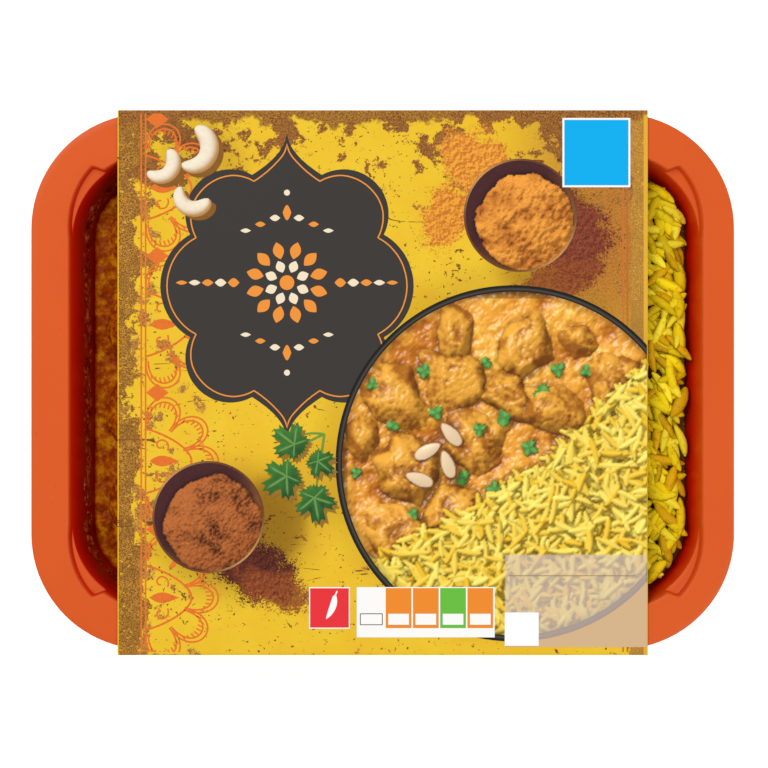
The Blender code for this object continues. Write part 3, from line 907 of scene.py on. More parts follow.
@dataclass
class CardSleeve:
    """The board sleeve: a closed section with round folds and a glue flap, carried along X."""

    board: float = 0.5
    fold: float = 0.9
    base_width: float = 147.0
    glue_flap: float = 14.0
    flap_margin: float = 2.0
    ink_room: float = 0.16
    wave: float = 0.14
    stations: int = 91
    printed: PrintedBoard = field(default_factory=PrintedBoard)
    raw: RawBoard = field(default_factory=RawBoard)

    def __post_init__(self) -> None:
        """Read the sleeve's place from the frame."""
        self.half_length, self.half_width, top = box_mm("sleeve")[1]
        self.height = top - self.ink_room
        self.slope = (self.half_width + 0.2 - self.base_width / 2) / self.height

    def dip(self, x: Array, y: Array) -> Array:
        """How far the printed face dips: long soft waves that fade out at the folds."""
        waves = 0.5 + 0.5 * smooth_noise(x + 200, y + 200, 38.0, 11)
        fade = np.clip((self.half_width - 2 - np.abs(y)) / 12, 0, 1)
        return self.wave * waves * fade

    def top(self, x: Array, y: Array) -> Array:
        """Height of the printed face at a place."""
        return self.height - self.dip(x, y)

    def section(self, inward: int) -> Array:
        """Closed loop of (y, z): straight panels with arcs at the folds.

        Args:
            inward: 0 for the outer skin and 1 for the inner one, a board's thickness in.

        Returns:
            (n, 2) points, as many for both skins.
        """
        skin = inward * self.board
        half = self.base_width / 2
        low, raised, top = skin, skin + self.board, self.height - skin

        def side(z: float) -> float:
            """Half width at a height: the side panel leans."""
            return half + self.slope * z - skin * math.hypot(1.0, self.slope)

        step = half - (self.glue_flap if inward else self.flap_margin)
        corners = np.array([(-side(low), low), (step, low), (step, raised), (side(raised), raised),
                            (side(top), top), (-side(top), top)])
        radius = self.fold - skin
        rounded = [self.round_corner(corners[i - 1], corners[i], corners[(i + 1) % 6], size)
                   for i, size in enumerate((radius, 0.0, 0.0, radius, radius, radius))]
        loop = []
        for piece, after, count in zip(rounded, rounded[1:] + rounded[:1], (50, 2, 8, 16, 75, 16)):
            share = np.linspace(0, 1, count + 1)[1:-1, None]
            loop += [piece, piece[-1] * (1 - share) + after[0] * share]
        return np.concatenate(loop)

    @staticmethod
    def round_corner(before: Array, corner: Array, after: Array, radius: float) -> Array:
        """An arc tangent to both sides of a corner, or the corner alone where radius is 0."""
        if radius == 0:
            return corner[None, :]
        first, second = ((end - corner) / np.linalg.norm(end - corner) for end in (before, after))
        half = math.acos(float(np.clip(first @ second, -1, 1))) / 2
        axis = (first + second) / np.linalg.norm(first + second)
        across = np.array([-axis[1], axis[0]])
        across = across * np.sign(across @ first)
        turn = np.linspace(half - math.pi / 2, math.pi / 2 - half, 7)[:, None]
        return corner + radius * (axis / math.sin(half) - axis * np.cos(turn) - across * np.sin(turn))

    def build(self) -> Piece:
        """Carry both skins along X, join them at the ends and dress print, back and edges."""
        x = np.linspace(-self.half_length, self.half_length, self.stations)[:, None]
        skins = []
        for inward in (0, 1):
            along, y, z = np.broadcast_arrays(x, *self.section(inward).T)
            z = z - self.dip(along, y) * (z > self.height - 2 * self.board)
            skins.append(cloud_of(along, y, z))
        size = len(skins[0])
        count = size // self.stations
        outer = grid_faces(self.stations, count, wrap=True)
        ring = np.arange(count)
        after = (ring + 1) % count
        cap = np.stack([ring, after, size + after, size + ring], axis=1)
        obj = mesh_object("card_sleeve", np.concatenate(skins),
                          [outer, outer[:, ::-1] + size, cap[:, ::-1], cap + size - count],
                          [self.printed.build(), self.raw.build()],
                          slots=np.repeat((0, 1), (len(outer), len(outer) + 2 * count)), sharp_angle=35)
        merge_points(obj, 0.001)
        return finish_piece(obj, ("sleeve",))


@dataclass
class PrintLayer:
    """Flat inks on the sleeve's face: patches of points with colours, kept a hair apart in height."""

    sleeve: CardSleeve
    name: str
    ink: PrintInk
    points: list = field(default_factory=list)
    colours: list = field(default_factory=list)
    faces: list = field(default_factory=list)
    count: int = 0

    LIFT = 0.009
    STAGGER = 0.001
    DEPTH = 0.02
    SUNK = 0.32
    MARGIN = 0.25

    def patch(self, x: Array, y: Array, colour: Array | Tone, level: int, wrap: bool = False) -> None:
        """Add a grid of ink, clipped to the face by holding its points at the edge.

        Args:
            x: (rows, columns) places along the sleeve.
            y: Places across it.
            colour: One colour, or a linear one for each point.
            level: Printing order, which sets the height.
            wrap: Whether each row closes on itself.
        """
        edge = (self.sleeve.half_length - self.MARGIN, self.sleeve.half_width - 1.0)
        x, y = (np.clip(place, -limit, limit) for place, limit in zip((x, y), edge))
        z = self.sleeve.top(x, y) + self.LIFT * level + self.STAGGER * (len(self.points) % 8)
        self.points.append(cloud_of(x, y, z))
        self.colours.append(np.broadcast_to(as_light(colour), (*x.shape, 3)).reshape(-1, 3))
        self.faces.append(grid_faces(*x.shape, wrap=wrap, start=self.count))
        self.count += x.size

    def disc(self, centre: Place, radius: float | Outline, colour: Tone | Shading, level: int, rings: int = 2,
             steps: int = 96, inner: float = 0.0) -> None:
        """Add a disc or ring in polar form: each ring of points is a share of the outer radius.

        Args:
            centre: Its centre.
            radius: Its radius, or a function of the angle.
            colour: A colour, or a function of share, angle, x and y.
            level: Printing order.
            rings: Number of bands from the inside to the edge.
            steps: Points round it.
            inner: Share of the radius where it starts.
        """
        share, angle = np.broadcast_arrays(np.linspace(max(inner, 0.002), 1.0, rings + 1)[:, None],
                                           np.linspace(0, 2 * np.pi, steps, endpoint=False))
        reach = radius(angle) if callable(radius) else radius
        x, y = np.moveaxis(polar(centre, share * reach, angle), -1, 0)
        self.patch(x, y, colour(share, angle, x, y) if callable(colour) else colour, level, wrap=True)

    @staticmethod
    def directions(path: Array) -> tuple[Array, Array, Array]:
        """Unit vectors along and across a path, and the length of its steps."""
        along = np.gradient(path, axis=0)
        step = np.maximum(np.linalg.norm(along, axis=1), 1e-9)
        along = along / step[:, None]
        return along, np.stack([-along[:, 1], along[:, 0]], axis=1), step

    def stroke(self, path: Array, width: float | Array, colour: Tone, level: int) -> None:
        """Add a line of ink: the path moved half the width to each side along its normals."""
        across = self.directions(path)[1] * np.reshape(np.asarray(width) / 2, (-1, 1))
        place = np.stack([path - across, path + across])
        self.patch(place[..., 0], place[..., 1], colour, level)

    def tube(self, path: Array, width: Array, tones: tuple[str, str], level: int) -> None:
        """Add a line that looks round: each point has a tube's slope there, lit from the upper left."""
        along, across, step = self.directions(path)
        share = np.sin(np.linspace(-np.pi / 2, np.pi / 2, 11))[:, None, None]
        place = path + across * (width[:, None] / 2) * share
        taper = np.clip(-np.gradient(width / 2) / step, -1, 1)[:, None]
        slope = across * share + along * taper * 0.8
        up = np.sqrt(np.clip(1 - (slope ** 2).sum(-1), 0.02, 1))
        lit = slope @ PaintedRelief.LAMP[:2] + up * PaintedRelief.LAMP[2]
        self.patch(place[..., 0], place[..., 1], blend_colours(*tones, ease(lit, 0.0, 0.95)), level)

    def rectangle(self, low: Place, high: Place, colour: Tone, level: int, cells: int = 16) -> None:
        """Add a rectangle between two corners."""
        x, y = np.meshgrid(np.linspace(low[0], high[0], cells + 1), np.linspace(low[1], high[1], cells + 1))
        self.patch(x, y, colour, level)

    def picture(self, relief: PaintedRelief, colours: Array, keep: Array, level: int) -> None:
        """Add a painted grid, of which only the squares with all corners kept are printed."""
        faces = grid_faces(*relief.x.shape, start=self.count)
        kept = keep.ravel()[faces - self.count].all(axis=1)
        self.patch(relief.x, relief.y, colours, level)
        self.faces[-1] = faces[kept]

    def build(self, thin: bool = False) -> Piece:
        """Make one mesh of all patches, facing up, and give the ink a thickness into the board.

        Args:
            thin: Close each patch with one face below, which suits a large picture.

        Returns:
            The printed layer.
        """
        points = np.concatenate(self.points)
        faces = np.concatenate(self.faces)
        sides = points[faces[:, 2]] - points[faces[:, 0]], points[faces[:, 3]] - points[faces[:, 1]]
        area = sides[0][:, 0] * sides[1][:, 1] - sides[0][:, 1] * sides[1][:, 0]
        faces = np.where(area[:, None] < 0, faces[:, ::-1], faces)[np.abs(area) > 1e-5]
        used, numbers = np.unique(faces, return_inverse=True)
        obj = mesh_object(self.name, points[used], [numbers.reshape(faces.shape)], [self.ink.build()],
                          colours=np.concatenate(self.colours)[used])
        obj.data.shade_flat()
        if thin:
            self.close_below(obj)
        else:
            thicken(obj, self.DEPTH)
        return finish_piece(obj)

    def close_below(self, obj: Piece) -> None:
        """Carry a sheet's edges down by the ink's depth and fill each outline below."""
        bm = bmesh.new()
        bm.from_mesh(obj.data)
        edges = [edge for edge in bm.edges if edge.is_boundary]
        wall = bmesh.ops.extrude_edge_only(bm, edges=edges)["geom"]
        low = [item for item in wall if isinstance(item, bmesh.types.BMVert)]
        bmesh.ops.translate(bm, verts=low, vec=(0.0, 0.0, -self.SUNK * TO_METRES))
        rim = [item for item in wall if isinstance(item, bmesh.types.BMEdge) and item.is_boundary]
        bmesh.ops.holes_fill(bm, edges=rim, sides=0)
        bmesh.ops.recalc_face_normals(bm, faces=bm.faces)
        bm.to_mesh(obj.data)
        bm.free()


@dataclass
class TrimPrint:
    """Border lines, half rosettes and the dark plaque: a traditional ornament of arcs and petals."""

    sleeve: CardSleeve
    line: float = 0.5

    def build(self) -> list[Piece]:
        """Print the lines under the plaque, then the plaque itself."""
        lines = PrintLayer(self.sleeve, "border_ornament", PrintInk("ornament_ink", scuffs=0.75, grain=0.15))
        half, colour, lozenge = self.sleeve.half_width, Palette.LINE, np.linspace(-1, 1, 24)
        for x, tone in ((-72.4, colour), (-71.1, colour), (72.1, "#CC7434"), (73.4, "#C46A30")):
            lines.stroke(pair(x, np.linspace(-half, half, 120)), self.line, tone, 1)
        for centre in (-64.5, -23.5, 17.5, 58.5):
            self.half_mandala(lines, (-70.9, centre), colour)
            lines.stroke(pair(-67.6 + 3.4 * lozenge, centre + 20.5), 5.4 * (1 - np.abs(lozenge)), colour, 2)
        plaque = PrintLayer(self.sleeve, "charcoal_plaque", PrintInk("charcoal_ink", grain=0.05))
        self.plaque(plaque)
        return [lines.build(), plaque.build()]

    def half_mandala(self, lines: PrintLayer, centre: Place, colour: Tone) -> None:
        """Half a mandala on the left border: a leaf and two scrolls in an arch, ringed by fringed petals.

        Args:
            lines: The layer.
            centre: Its middle, on the border's line.
            colour: The ink.
        """
        x, y = centre
        run, leaf, curl = np.linspace(-1, 1, 61), np.linspace(0, 1, 24), np.linspace(0, 5.4, 40)
        arch = pair(x + 13.6 * (1 - np.abs(run) ** 1.8) ** 0.85, y + 9.6 * run)
        lines.stroke(arch, self.line * 1.2, colour, 2)
        lines.stroke(pair(x + 1.0 + 9.0 * leaf, y), 3.2 * np.sin(np.pi * leaf ** 0.8) ** 1.2, colour, 2)
        for side in (-1, 1):
            scroll = polar((4.4, 4.6), 2.4 * (1 - curl / 7.2), curl - 0.6)
            lines.stroke(pair(x + scroll[:, 0], y + side * scroll[:, 1]), self.line, colour, 2)
        for angle in (-1.24, -0.62, 0.0, 0.62, 1.24):
            for share in (1.0, 0.84):
                reach = 12.0 + 9.6 * share * np.sqrt(1 - run ** 2)
                lines.stroke(polar(centre, reach, angle + 0.34 * share * run, 0.92), self.line, colour, 2)
            for step in np.linspace(-0.24, 0.24, 8):
                ray = 12.0 + 6.3 * math.sqrt(1 - (step / 0.34) ** 2) + np.array([-0.2, 0.6, 1.4])
                lines.stroke(polar(centre, ray, angle + step, 0.92), self.line * 0.85, colour, 2)

    def plaque(self, layer: PrintLayer) -> None:
        """The dark label: a cusped medallion with flared tips, a thin frame and a flower band.

        Its outline is the union of an oval, two side lobes, four shoulder lobes and two hollow
        tips. From the middle, each ray's last place inside one of them gives its reach.
        """
        centre, orange, cream = (-28.7, 29.0), "#F0953A", Palette.CREAM
        angles, reach = np.linspace(0, 2 * np.pi, 720, endpoint=False), np.linspace(0, 48, 960)
        x, y = np.abs(np.moveaxis(polar((0.0, 0.0), reach[:, None], angles), -1, 0))
        tip = 12.5 * np.clip(1 - (y - 32.0) / 13.8, 0, 1) ** 1.9
        inside = ((x / 30.0) ** 2 + (y / 33.0) ** 2 < 1) | (((x - 21.0) / 17.0) ** 2 + (y / 17.5) ** 2 < 1)
        inside |= (x - 17.0) ** 2 + (y - 21.5) ** 2 < 13.5 ** 2
        inside |= (y > 31.0) & (x < tip + 0.15) & (y < 45.8)
        limit = reach[len(reach) - 1 - np.argmax(inside[::-1], axis=0)]

        def outline(angle: Array) -> Array:
            """Reach of the medallion's edge at an angle."""
            return np.interp(np.mod(angle, 2 * np.pi), angles, limit, period=2 * np.pi)

        layer.disc(centre, outline, "#3C3835", 3, rings=6, steps=720)
        turn = np.linspace(0, 2 * np.pi, 721)
        edge = outline(turn)
        layer.stroke(polar(centre, edge - 2.0 - 1.2 * ease(edge, 38, 46), turn), 0.4, orange, 4)
        x, y = centre[0], centre[1] + 1.0
        self.flower(layer, (x, y), 12.5, orange, cream)
        for side in (-1, 1):
            for step in range(5):
                self.bud(layer, (x + side * (16.0 + 3.9 * step), y), 1.75, 2.7 - 0.36 * step,
                         cream if step % 2 else orange)
            for up, step in ((up, step) for up in (-1, 1) for step in range(3)):
                self.bud(layer, (x + side * (3.6 + 4.4 * step), y + up * (19.4 - 1.9 * step)), 1.6,
                         1.9 - 0.3 * step, orange if step % 2 else cream)
        for up in (-1, 1):
            self.bud(layer, (x, y + up * 21.0), 1.3, 4.6, orange)
            layer.disc((x, y + up * 27.0), 0.9, cream, 5, steps=32)

    @staticmethod
    def bud(layer: PrintLayer, centre: Place, half: float, wide: float, tone: Tone) -> None:
        """One leaf-shaped bud, pointed at both sides."""
        leaf = np.linspace(-1, 1, 16)
        layer.stroke(pair(centre[0] + half * leaf, centre[1]), wide * np.cos(leaf * np.pi / 2), tone, 5)

    @staticmethod
    def flower(layer: PrintLayer, centre: Place, reach: float, first: Tone, second: Tone) -> None:
        """A round flower of two rings of leaf petals about a disc."""
        for petals, start, end, wide, tone in ((12, 0.58, 1.0, 3.3, first), (8, 0.26, 0.56, 2.8, second)):
            for angle in np.linspace(0, 2 * np.pi, petals, endpoint=False) + np.pi / petals:
                layer.stroke(polar(centre, np.linspace(start, end, 18) * reach, angle),
                             wide * np.sin(np.linspace(0, np.pi, 18)) ** 0.9, tone, 5)
        layer.disc(centre, 2.2, first, 5, steps=32)


ABSENT = -99.0
WHOLE = (slice(None), slice(None))
PANEL = ((36.6, -79.3), (79.2, -51.7))


class PaintedRelief:
    """A picture as a grid of heights and tones, lit from the upper left when it is finished.

    Shapes are stamped one after another and stay where they stand above what is there. The
    slopes of the finished heights give light and shade, and places that stand higher towards
    the lamp throw shadows.
    """

    LAMP = np.array([-0.45, 0.55, 0.95]) / math.sqrt(0.45 ** 2 + 0.55 ** 2 + 0.95 ** 2)

    def __init__(self, low: Place, high: Place, step: float, tone: Tone) -> None:
        """Lay out the grid.

        Args:
            low: Lower left corner.
            high: Upper right corner.
            step: Distance between the grid's points.
            tone: Its first colour.
        """
        self.low, self.step = low, step
        self.x, self.y = np.meshgrid(np.arange(low[0], high[0] + step / 2, step),
                                     np.arange(low[1], high[1] + step / 2, step))
        self.height = np.zeros(self.x.shape)
        self.tone = np.broadcast_to(as_light(tone), (*self.x.shape, 3)).copy()
        self.gloss = np.zeros(self.x.shape)

    def near(self, centre: Place, reach: float) -> tuple[tuple[slice, slice], Array, Array]:
        """The part of the grid within reach of a place, with its x and y from there."""
        count = int(reach / self.step) + 2
        middle = (int((centre[i] - self.low[i]) / self.step) for i in (1, 0))
        part = tuple(slice(max(item - count, 0), max(item + count, 0)) for item in middle)
        return part, self.x[part] - centre[0], self.y[part] - centre[1]

    def stamp(self, part: tuple[slice, slice], height: Array, tone: Array, gloss: float = 0.0) -> None:
        """Keep a shape where it stands above what is there."""
        over = height > self.height[part]
        self.height[part] = np.where(over, height, self.height[part])
        self.tone[part] = np.where(over[..., None], tone, self.tone[part])
        self.gloss[part] = np.where(over, gloss, self.gloss[part])

    def lump(self, centre: Place, long: float, wide: float, turn: float, tall: float, seed: int,
             tones: tuple[str, str]) -> None:
        """Stamp a chunk: the lowest of six sloping sides and a tilted top, softened and roughened.

        Args:
            centre: Its middle.
            long: Its half length.
            wide: Its half width.
            turn: Turn of its length.
            tall: Height of its top.
            seed: Seed of its sides and relief.
            tones: Its dark and light colours.
        """
        part, x, y = self.near(centre, max(long, wide) * 1.3)
        u, v = turned(x, y, turn)
        u, v = u / long, v / wide
        ragged = 1 + 0.22 * smooth_noise(u + 9, v + 9, 0.7, seed, 3)
        rng = np.random.default_rng(seed)
        sides = [rng.uniform(1.3, 3.4) * (1 - turned(u, v, angle)[0] * ragged / rng.uniform(0.8, 1.05))
                 for angle in np.arange(6) * np.pi / 3 + rng.uniform(-0.35, 0.35, 6)]
        sides.append(1.0 + 0.28 * turned(u, v, rng.uniform(0, 2 * np.pi))[0])
        dome = -tall * np.log(np.exp(-9 * np.stack(sides)).sum(axis=0)) / 9
        rough = smooth_noise(0.75 * u * long + 50, v * wide + 50, 3.8, seed + 1, 3)
        fine = smooth_noise(x + 50, y + 50, 1.05, seed + 2, 3)
        height = np.where(dome > 0, dome + (0.75 * rough + 0.34 * fine) * np.clip(dome / 2, 0, 1), ABSENT)
        tone = blend_colours(*tones, ease(rough + 0.5 * fine + 0.3 * dome / tall, -0.3, 0.55))
        self.stamp(part, height, tone, 0.5)

    def grain(self, centre: Place, length: float, wide: float, turn: float, bend: float, tone: Array) -> None:
        """Stamp a rice grain on what lies there: a bent rod with blunt ends and a round back."""
        part, x, y = self.near(centre, length * 0.6)
        u, v = turned(x, y, turn)
        u = u * 2 / length
        v = v + bend * u ** 2
        girth = wide / 2 * np.sqrt(np.clip(1 - np.abs(u) ** 2.8, 0, 1)) + 1e-6
        back = np.sqrt(np.clip(1 - (v / girth) ** 2, 0, 1))
        inside = (np.abs(v) < girth) & (np.abs(u) < 1)
        if inside.any():
            back = self.height[part][inside].mean() + 0.22 + back * wide * 0.4
            self.stamp(part, np.where(inside, back, ABSENT), tone[None, None], 0.25)

    def leaf(self, centre: Place, size: float, turn: float, lobes: int) -> None:
        """Stamp a bit of herb: a lobed, toothed outline with a pale middle vein."""
        part, x, y = self.near(centre, size * 1.1)
        angle, reach = np.arctan2(y, x) - turn, np.hypot(x, y)
        lobe = np.abs(np.cos(lobes * angle / 2))
        limit = size * (0.5 + 0.5 * lobe ** 0.7) * (1 - 0.14 * np.abs(np.sin(7.5 * angle)))
        tone = blend_colours("#2E7A3A", "#74B654", 0.3 + 0.6 * lobe ** 6 * ease(reach / size, 0.0, 0.3))
        floor = float(self.height[part].mean()) + 1.0
        self.stamp(part, np.where(reach < limit, floor + 0.25 * (1 - reach / size), ABSENT), tone, 0.2)

    def lit(self, ambient: float = 0.42) -> Array:
        """Return the colours under the lamp: slope light, thrown shadows, hollows and glints."""
        slope_y, slope_x = np.gradient(self.height, self.step)
        length = np.sqrt(1 + slope_x ** 2 + slope_y ** 2)
        shade = (self.LAMP[2] - slope_x * self.LAMP[0] - slope_y * self.LAMP[1]) / length / self.LAMP[2]
        shadow = np.zeros(self.x.shape)
        for count in (1, 2, 3, 5, 8, 12):
            ahead = np.roll(self.height, (-round(0.77 * count), round(0.63 * count)), (0, 1))
            shadow = np.maximum(shadow, (ahead - self.height) / (count * self.step) - 0.75)
        level = self.height.copy()
        for count in (1, 2, 4):
            near = (-count, 0, count)
            level = sum(np.roll(level, (i, j), (0, 1)) for i in near for j in near) / 9
        hollow = ease(level - self.height, 0.0, 1.1)
        light = ambient + (1 - ambient) * np.clip(shade, 0, 1.45) * (1 - 0.75 * ease(shadow, 0, 0.5))
        light = light * (1 - 0.42 * hollow)
        middle = self.LAMP + np.array([0, 0, 1])
        middle = middle / np.linalg.norm(middle)
        mirror = np.clip((middle[2] - slope_x * middle[0] - slope_y * middle[1]) / length, 0, 1)
        warm = self.tone ** (1 + 0.25 * np.clip(1 - light, 0, 1))[..., None]
        return np.clip(warm * light[..., None] + 0.55 * (self.gloss * mirror ** 60)[..., None], 0, 1)


@dataclass
class DishPrint:
    """The pictured food: two spice bowls, nuts, a herb sprig and a plate of curry and rice."""

    sleeve: CardSleeve
    plate_centre: Place = (39.3, -24.2)
    plate_radius: float = 53.4
    ring: float = 1.9
    step: float = 0.34

    # Places on the plate, then half length and half width, size, or turn.
    MEAT = ((3.0, -4.5, 11.0, 8.5), (21.5, 1.0, 10.5, 9.0), (43.0, 10.0, 11.0, 8.0), (7.5, -25.5, 10.0, 9.5),
            (27.0, -17.0, 11.0, 9.5), (50.5, -7.5, 12.5, 8.5), (3.5, -45.5, 11.0, 9.0), (67.5, 0.5, 11.0, 7.5),
            (22.0, 15.5, 9.0, 6.0), (20.0, -39.0, 9.5, 7.5), (37.0, -3.5, 8.0, 6.5), (58.5, 12.5, 7.0, 5.0),
            (-6.5, -16.0, 7.0, 6.0))
    HERBS = ((-3.0, -0.5, 2.2), (12.5, 3.5, 2.6), (31.0, 6.0, 2.0), (36.5, -10.5, 3.0), (29.0, -14.0, 2.4),
             (52.5, 4.0, 2.6), (3.0, -13.0, 2.1), (24.0, -28.5, 2.6), (33.5, -32.0, 2.8), (44.0, -19.5, 2.9),
             (9.0, -39.5, 2.2), (16.0, -9.0, 2.5), (47.5, -3.0, 2.9), (61.0, 3.5, 2.2), (-8.0, -27.0, 2.0))
    ALMONDS = ((13.5, -20.5, 0.5), (19.5, -24.5, 1.9), (11.0, -29.0, 2.8), (20.5, -15.5, 2.3))
    # Place, size, turn and half the arc of each nut.
    NUTS = ((-57.5, 70.5, 5.6, -0.35, 1.75), (-67.0, 66.0, 4.3, -0.75, 1.75), (-56.5, 56.5, 4.4, 4.3, 1.7))
    # The end and bow of each stem, then the place, size, turn and level of each leaf.
    STEMS = ((-29.0, -18.5, 1.5), (-31.5, -27.5, 2.0), (-21.0, -36.5, -1.5), (-18.5, -25.0, 0.5))
    LEAVES = ((-26.5, -18.5, 8.2, 2.5, 11), (-28.8, -28.0, 8.8, 3.7, 13), (-20.5, -34.5, 8.6, 4.9, 11),
              (-19.5, -23.5, 6.4, 5.6, 13))

    def build(self) -> list[Piece]:
        """Print the bowls, the plate's food, its rim and the loose things beside it."""
        powder = PrintLayer(self.sleeve, "spice_bowls", PrintInk("powder_ink", grain_mm=0.5, grain=0.3))
        self.bowl(powder, (41.3, 50.2), 17.0, ("#A8541A", "#F2A040"), 21, 1.0)
        self.bowl(powder, (-52.3, -40.3), 16.8, ("#461C0C", "#BA6A34"), 22, 0.25)
        food = PrintLayer(self.sleeve, "plate_of_curry", PrintInk("food_ink", grain=0.0))
        self.food(food)
        rim = PrintLayer(self.sleeve, "plate_rim", PrintInk("rim_ink", grain=0.0))
        self.rim(rim)
        bits = PrintLayer(self.sleeve, "nuts_and_leaves", PrintInk("garnish_ink", grain_mm=1.0, grain=0.1))
        self.nuts(bits)
        self.sprig(bits)
        return [powder.build(), food.build(thin=True), rim.build(), bits.build()]

    def bowl(self, layer: PrintLayer, centre: Place, radius: float, tones: tuple[str, str], seed: int,
             lumps: float) -> None:
        """A brass bowl seen from above, its inner wall dark towards the lamp, with a heap of powder.

        Args:
            layer: The layer.
            centre: The bowl's centre.
            radius: Its outer radius.
            tones: The powder's dark and light colours.
            seed: Seed of the heap's relief.
            lumps: Height of the heap's lumps; fine grains take over where it is low.
        """
        x, y = centre
        picture = PaintedRelief((x - radius, y - radius), (x + radius, y + radius), self.step,
                                Palette.BOWL_DARK)
        away = np.hypot(picture.x - x, picture.y - y) / radius
        angle = np.arctan2(picture.y - y, picture.x - x)
        lit = ease(0.5 - 0.5 * np.cos(angle - math.radians(135)), 0.35, 1.0) * ease(away, 0.55, 0.95)
        picture.tone = blend_colours(Palette.BOWL_DARK, "#9A6238", lit)
        rough = smooth_noise(picture.x, picture.y, 4.2, seed, 5)
        grit = (1 - lumps) * smooth_noise(picture.x, picture.y, 0.5, seed + 3, 2)
        heap = np.hypot(picture.x - x - 0.09 * radius, picture.y - y + 0.12 * radius) / radius
        edge = 0.86 + 0.07 * smooth_noise(3 * np.cos(angle) + 9, 3 * np.sin(angle) + 9, 1.0, seed + 1, 4)
        height = 0.8 + 4.0 * np.sqrt(np.clip(1 - (heap / edge) ** 2, 0, 1)) ** 1.5 + 1.5 * lumps * rough
        height = height + 1.15 * lumps * smooth_noise(picture.x, picture.y, 1.25, seed + 2, 3) + 0.6 * grit
        tone = blend_colours(*tones, ease(rough + 0.9 * grit, -0.9, 0.3))
        picture.stamp(WHOLE, np.where(heap < edge, height, ABSENT), tone)
        layer.picture(picture, picture.lit(0.5), away < 0.985, 3)
        layer.disc(centre, radius, self.brass, 4, rings=2, inner=0.965, steps=160)

    @staticmethod
    def brass(share: Array, angle: Array, x: Array, y: Array) -> Array:
        """Brass rim colour: two bright stretches on a brown line."""
        return blend_colours("#6E4226", "#C8955A", np.abs(np.cos(angle - math.radians(135))) ** 6)

    def food(self, layer: PrintLayer) -> None:
        """The plate's food: gravy with lumps of meat, bits of herb and nut, and rice beside them."""
        centre, radius = np.array(self.plate_centre), self.plate_radius - 1.0
        edge = self.sleeve.half_length - PrintLayer.MARGIN
        picture = PaintedRelief(tuple(centre - radius), (edge, centre[1] + radius), self.step, Palette.GRAVY)
        x, y = picture.x, picture.y
        cloud, fine = smooth_noise(x + 80, y + 80, 8.0, 31, 5), smooth_noise(x + 80, y + 80, 1.6, 32, 3)
        picture.height = 1.3 * cloud + 0.42 * fine
        tone = blend_colours("#C8761E", "#F4A838", ease(cloud + 0.3 * fine, -0.5, 0.15))
        picture.tone = blend_colours(tone, "#FFC452", ease(cloud + 0.5 * fine, 0.25, 0.7))
        picture.gloss = np.full(x.shape, 0.55)
        rng = np.random.default_rng(5)
        for *place, long, wide in self.MEAT:
            turn, tall, seed = rng.uniform(0, np.pi), rng.uniform(4.2, 6.0), int(rng.integers(1000))
            picture.lump(place, long, wide, turn, tall, seed, ("#B26C1E", "#F2AE40"))
        self.bed(picture, rng)
        for *place, size in self.HERBS:
            picture.leaf(place, size, rng.uniform(0, 6.28), int(rng.integers(2, 5)))
        for *place, turn in self.ALMONDS:
            self.almond(picture, place, turn)
        colours = picture.lit()
        away = np.hypot(x - centre[0], y - centre[1])
        colours = blend_colours(colours, colours * 0.45, ease(away, radius - 4.0, radius))
        layer.picture(picture, self.veil(x, y, colours), away < radius, 6)

    def bed(self, picture: PaintedRelief, rng: np.random.Generator) -> None:
        """Rice on the lower right: a raised, cloudy bed under separate grains at random turns."""
        start, end = np.array([77.0, 2.5]), np.array([-1.0, -53.0])
        along = (end - start) / np.linalg.norm(end - start)

        def depth(x: Array | float, y: Array | float) -> Array:
            """How far a place lies inside the bed's bowed and ragged edge."""
            run = (x - start[0]) * along[0] + (y - start[1]) * along[1]
            bow = 5.0 * np.sin(np.clip(run / 95.0, 0, 1) * np.pi)
            ragged = 1.6 * smooth_noise(run + 60, 0 * run, 9.0, 41, 2)
            return (y - start[1]) * along[0] - (x - start[0]) * along[1] - bow - ragged

        inward = depth(picture.x, picture.y)
        cloud = smooth_noise(picture.x + 90, picture.y + 90, 2.6, 42, 3)
        height = np.where(inward > 0, 1.5 + 3.2 * ease(inward, 0, 9) + 1.1 * cloud, ABSENT)
        picture.stamp(WHOLE, height, blend_colours("#BC8418", "#E6B52C", ease(cloud, -0.5, 0.3)), 0.1)
        for _ in range(3600):
            place = rng.uniform((-8.0, -79.0), (80.0, 6.0))
            turn, length = rng.uniform(0, np.pi), rng.uniform(5.2, 8.2)
            wide, bend, pale = rng.uniform(1.5, 2.05), rng.uniform(-0.4, 0.4), rng.uniform(0, 1)
            off_plate = np.hypot(*(place - self.plate_centre)) > self.plate_radius + 2
            if not off_plate and depth(*place) >= rng.uniform(-2.5, 2.0):
                tone = blend_colours("#F4C42A", "#FFE96C", pale)
                picture.grain(place, length, wide, turn, bend, tone)

    @staticmethod
    def almond(picture: PaintedRelief, centre: Place, turn: float) -> None:
        """A flake of almond: a pale pointed oval with a thin brown skin at its edge."""
        part, x, y = picture.near(centre, 5.5)
        u, v = turned(x, y, turn)
        u, v = u / 4.6, v / 2.1
        reach = np.abs(u) ** 1.7 + np.abs(v) ** 2 * (1 + 0.45 * u)
        tone = blend_colours("#F0D3AC", "#B5713F", ease(reach, 0.72, 0.95))
        floor = float(np.percentile(picture.height[part], 85)) + 0.9
        picture.stamp(part, np.where(reach < 1, floor + 0.5 * (1 - reach) + 0.5 * u, ABSENT), tone, 0.3)

    @staticmethod
    def veil(x: Array, y: Array, tone: Array) -> Array:
        """Fade colours towards a cream tint where the see-through date panel lies over them."""
        inside = (x > PANEL[0][0]) & (x < PANEL[1][0]) & (y > PANEL[0][1]) & (y < PANEL[1][1])
        return blend_colours(tone, "#D4C0B4", np.where(inside, 0.6, 0.0))

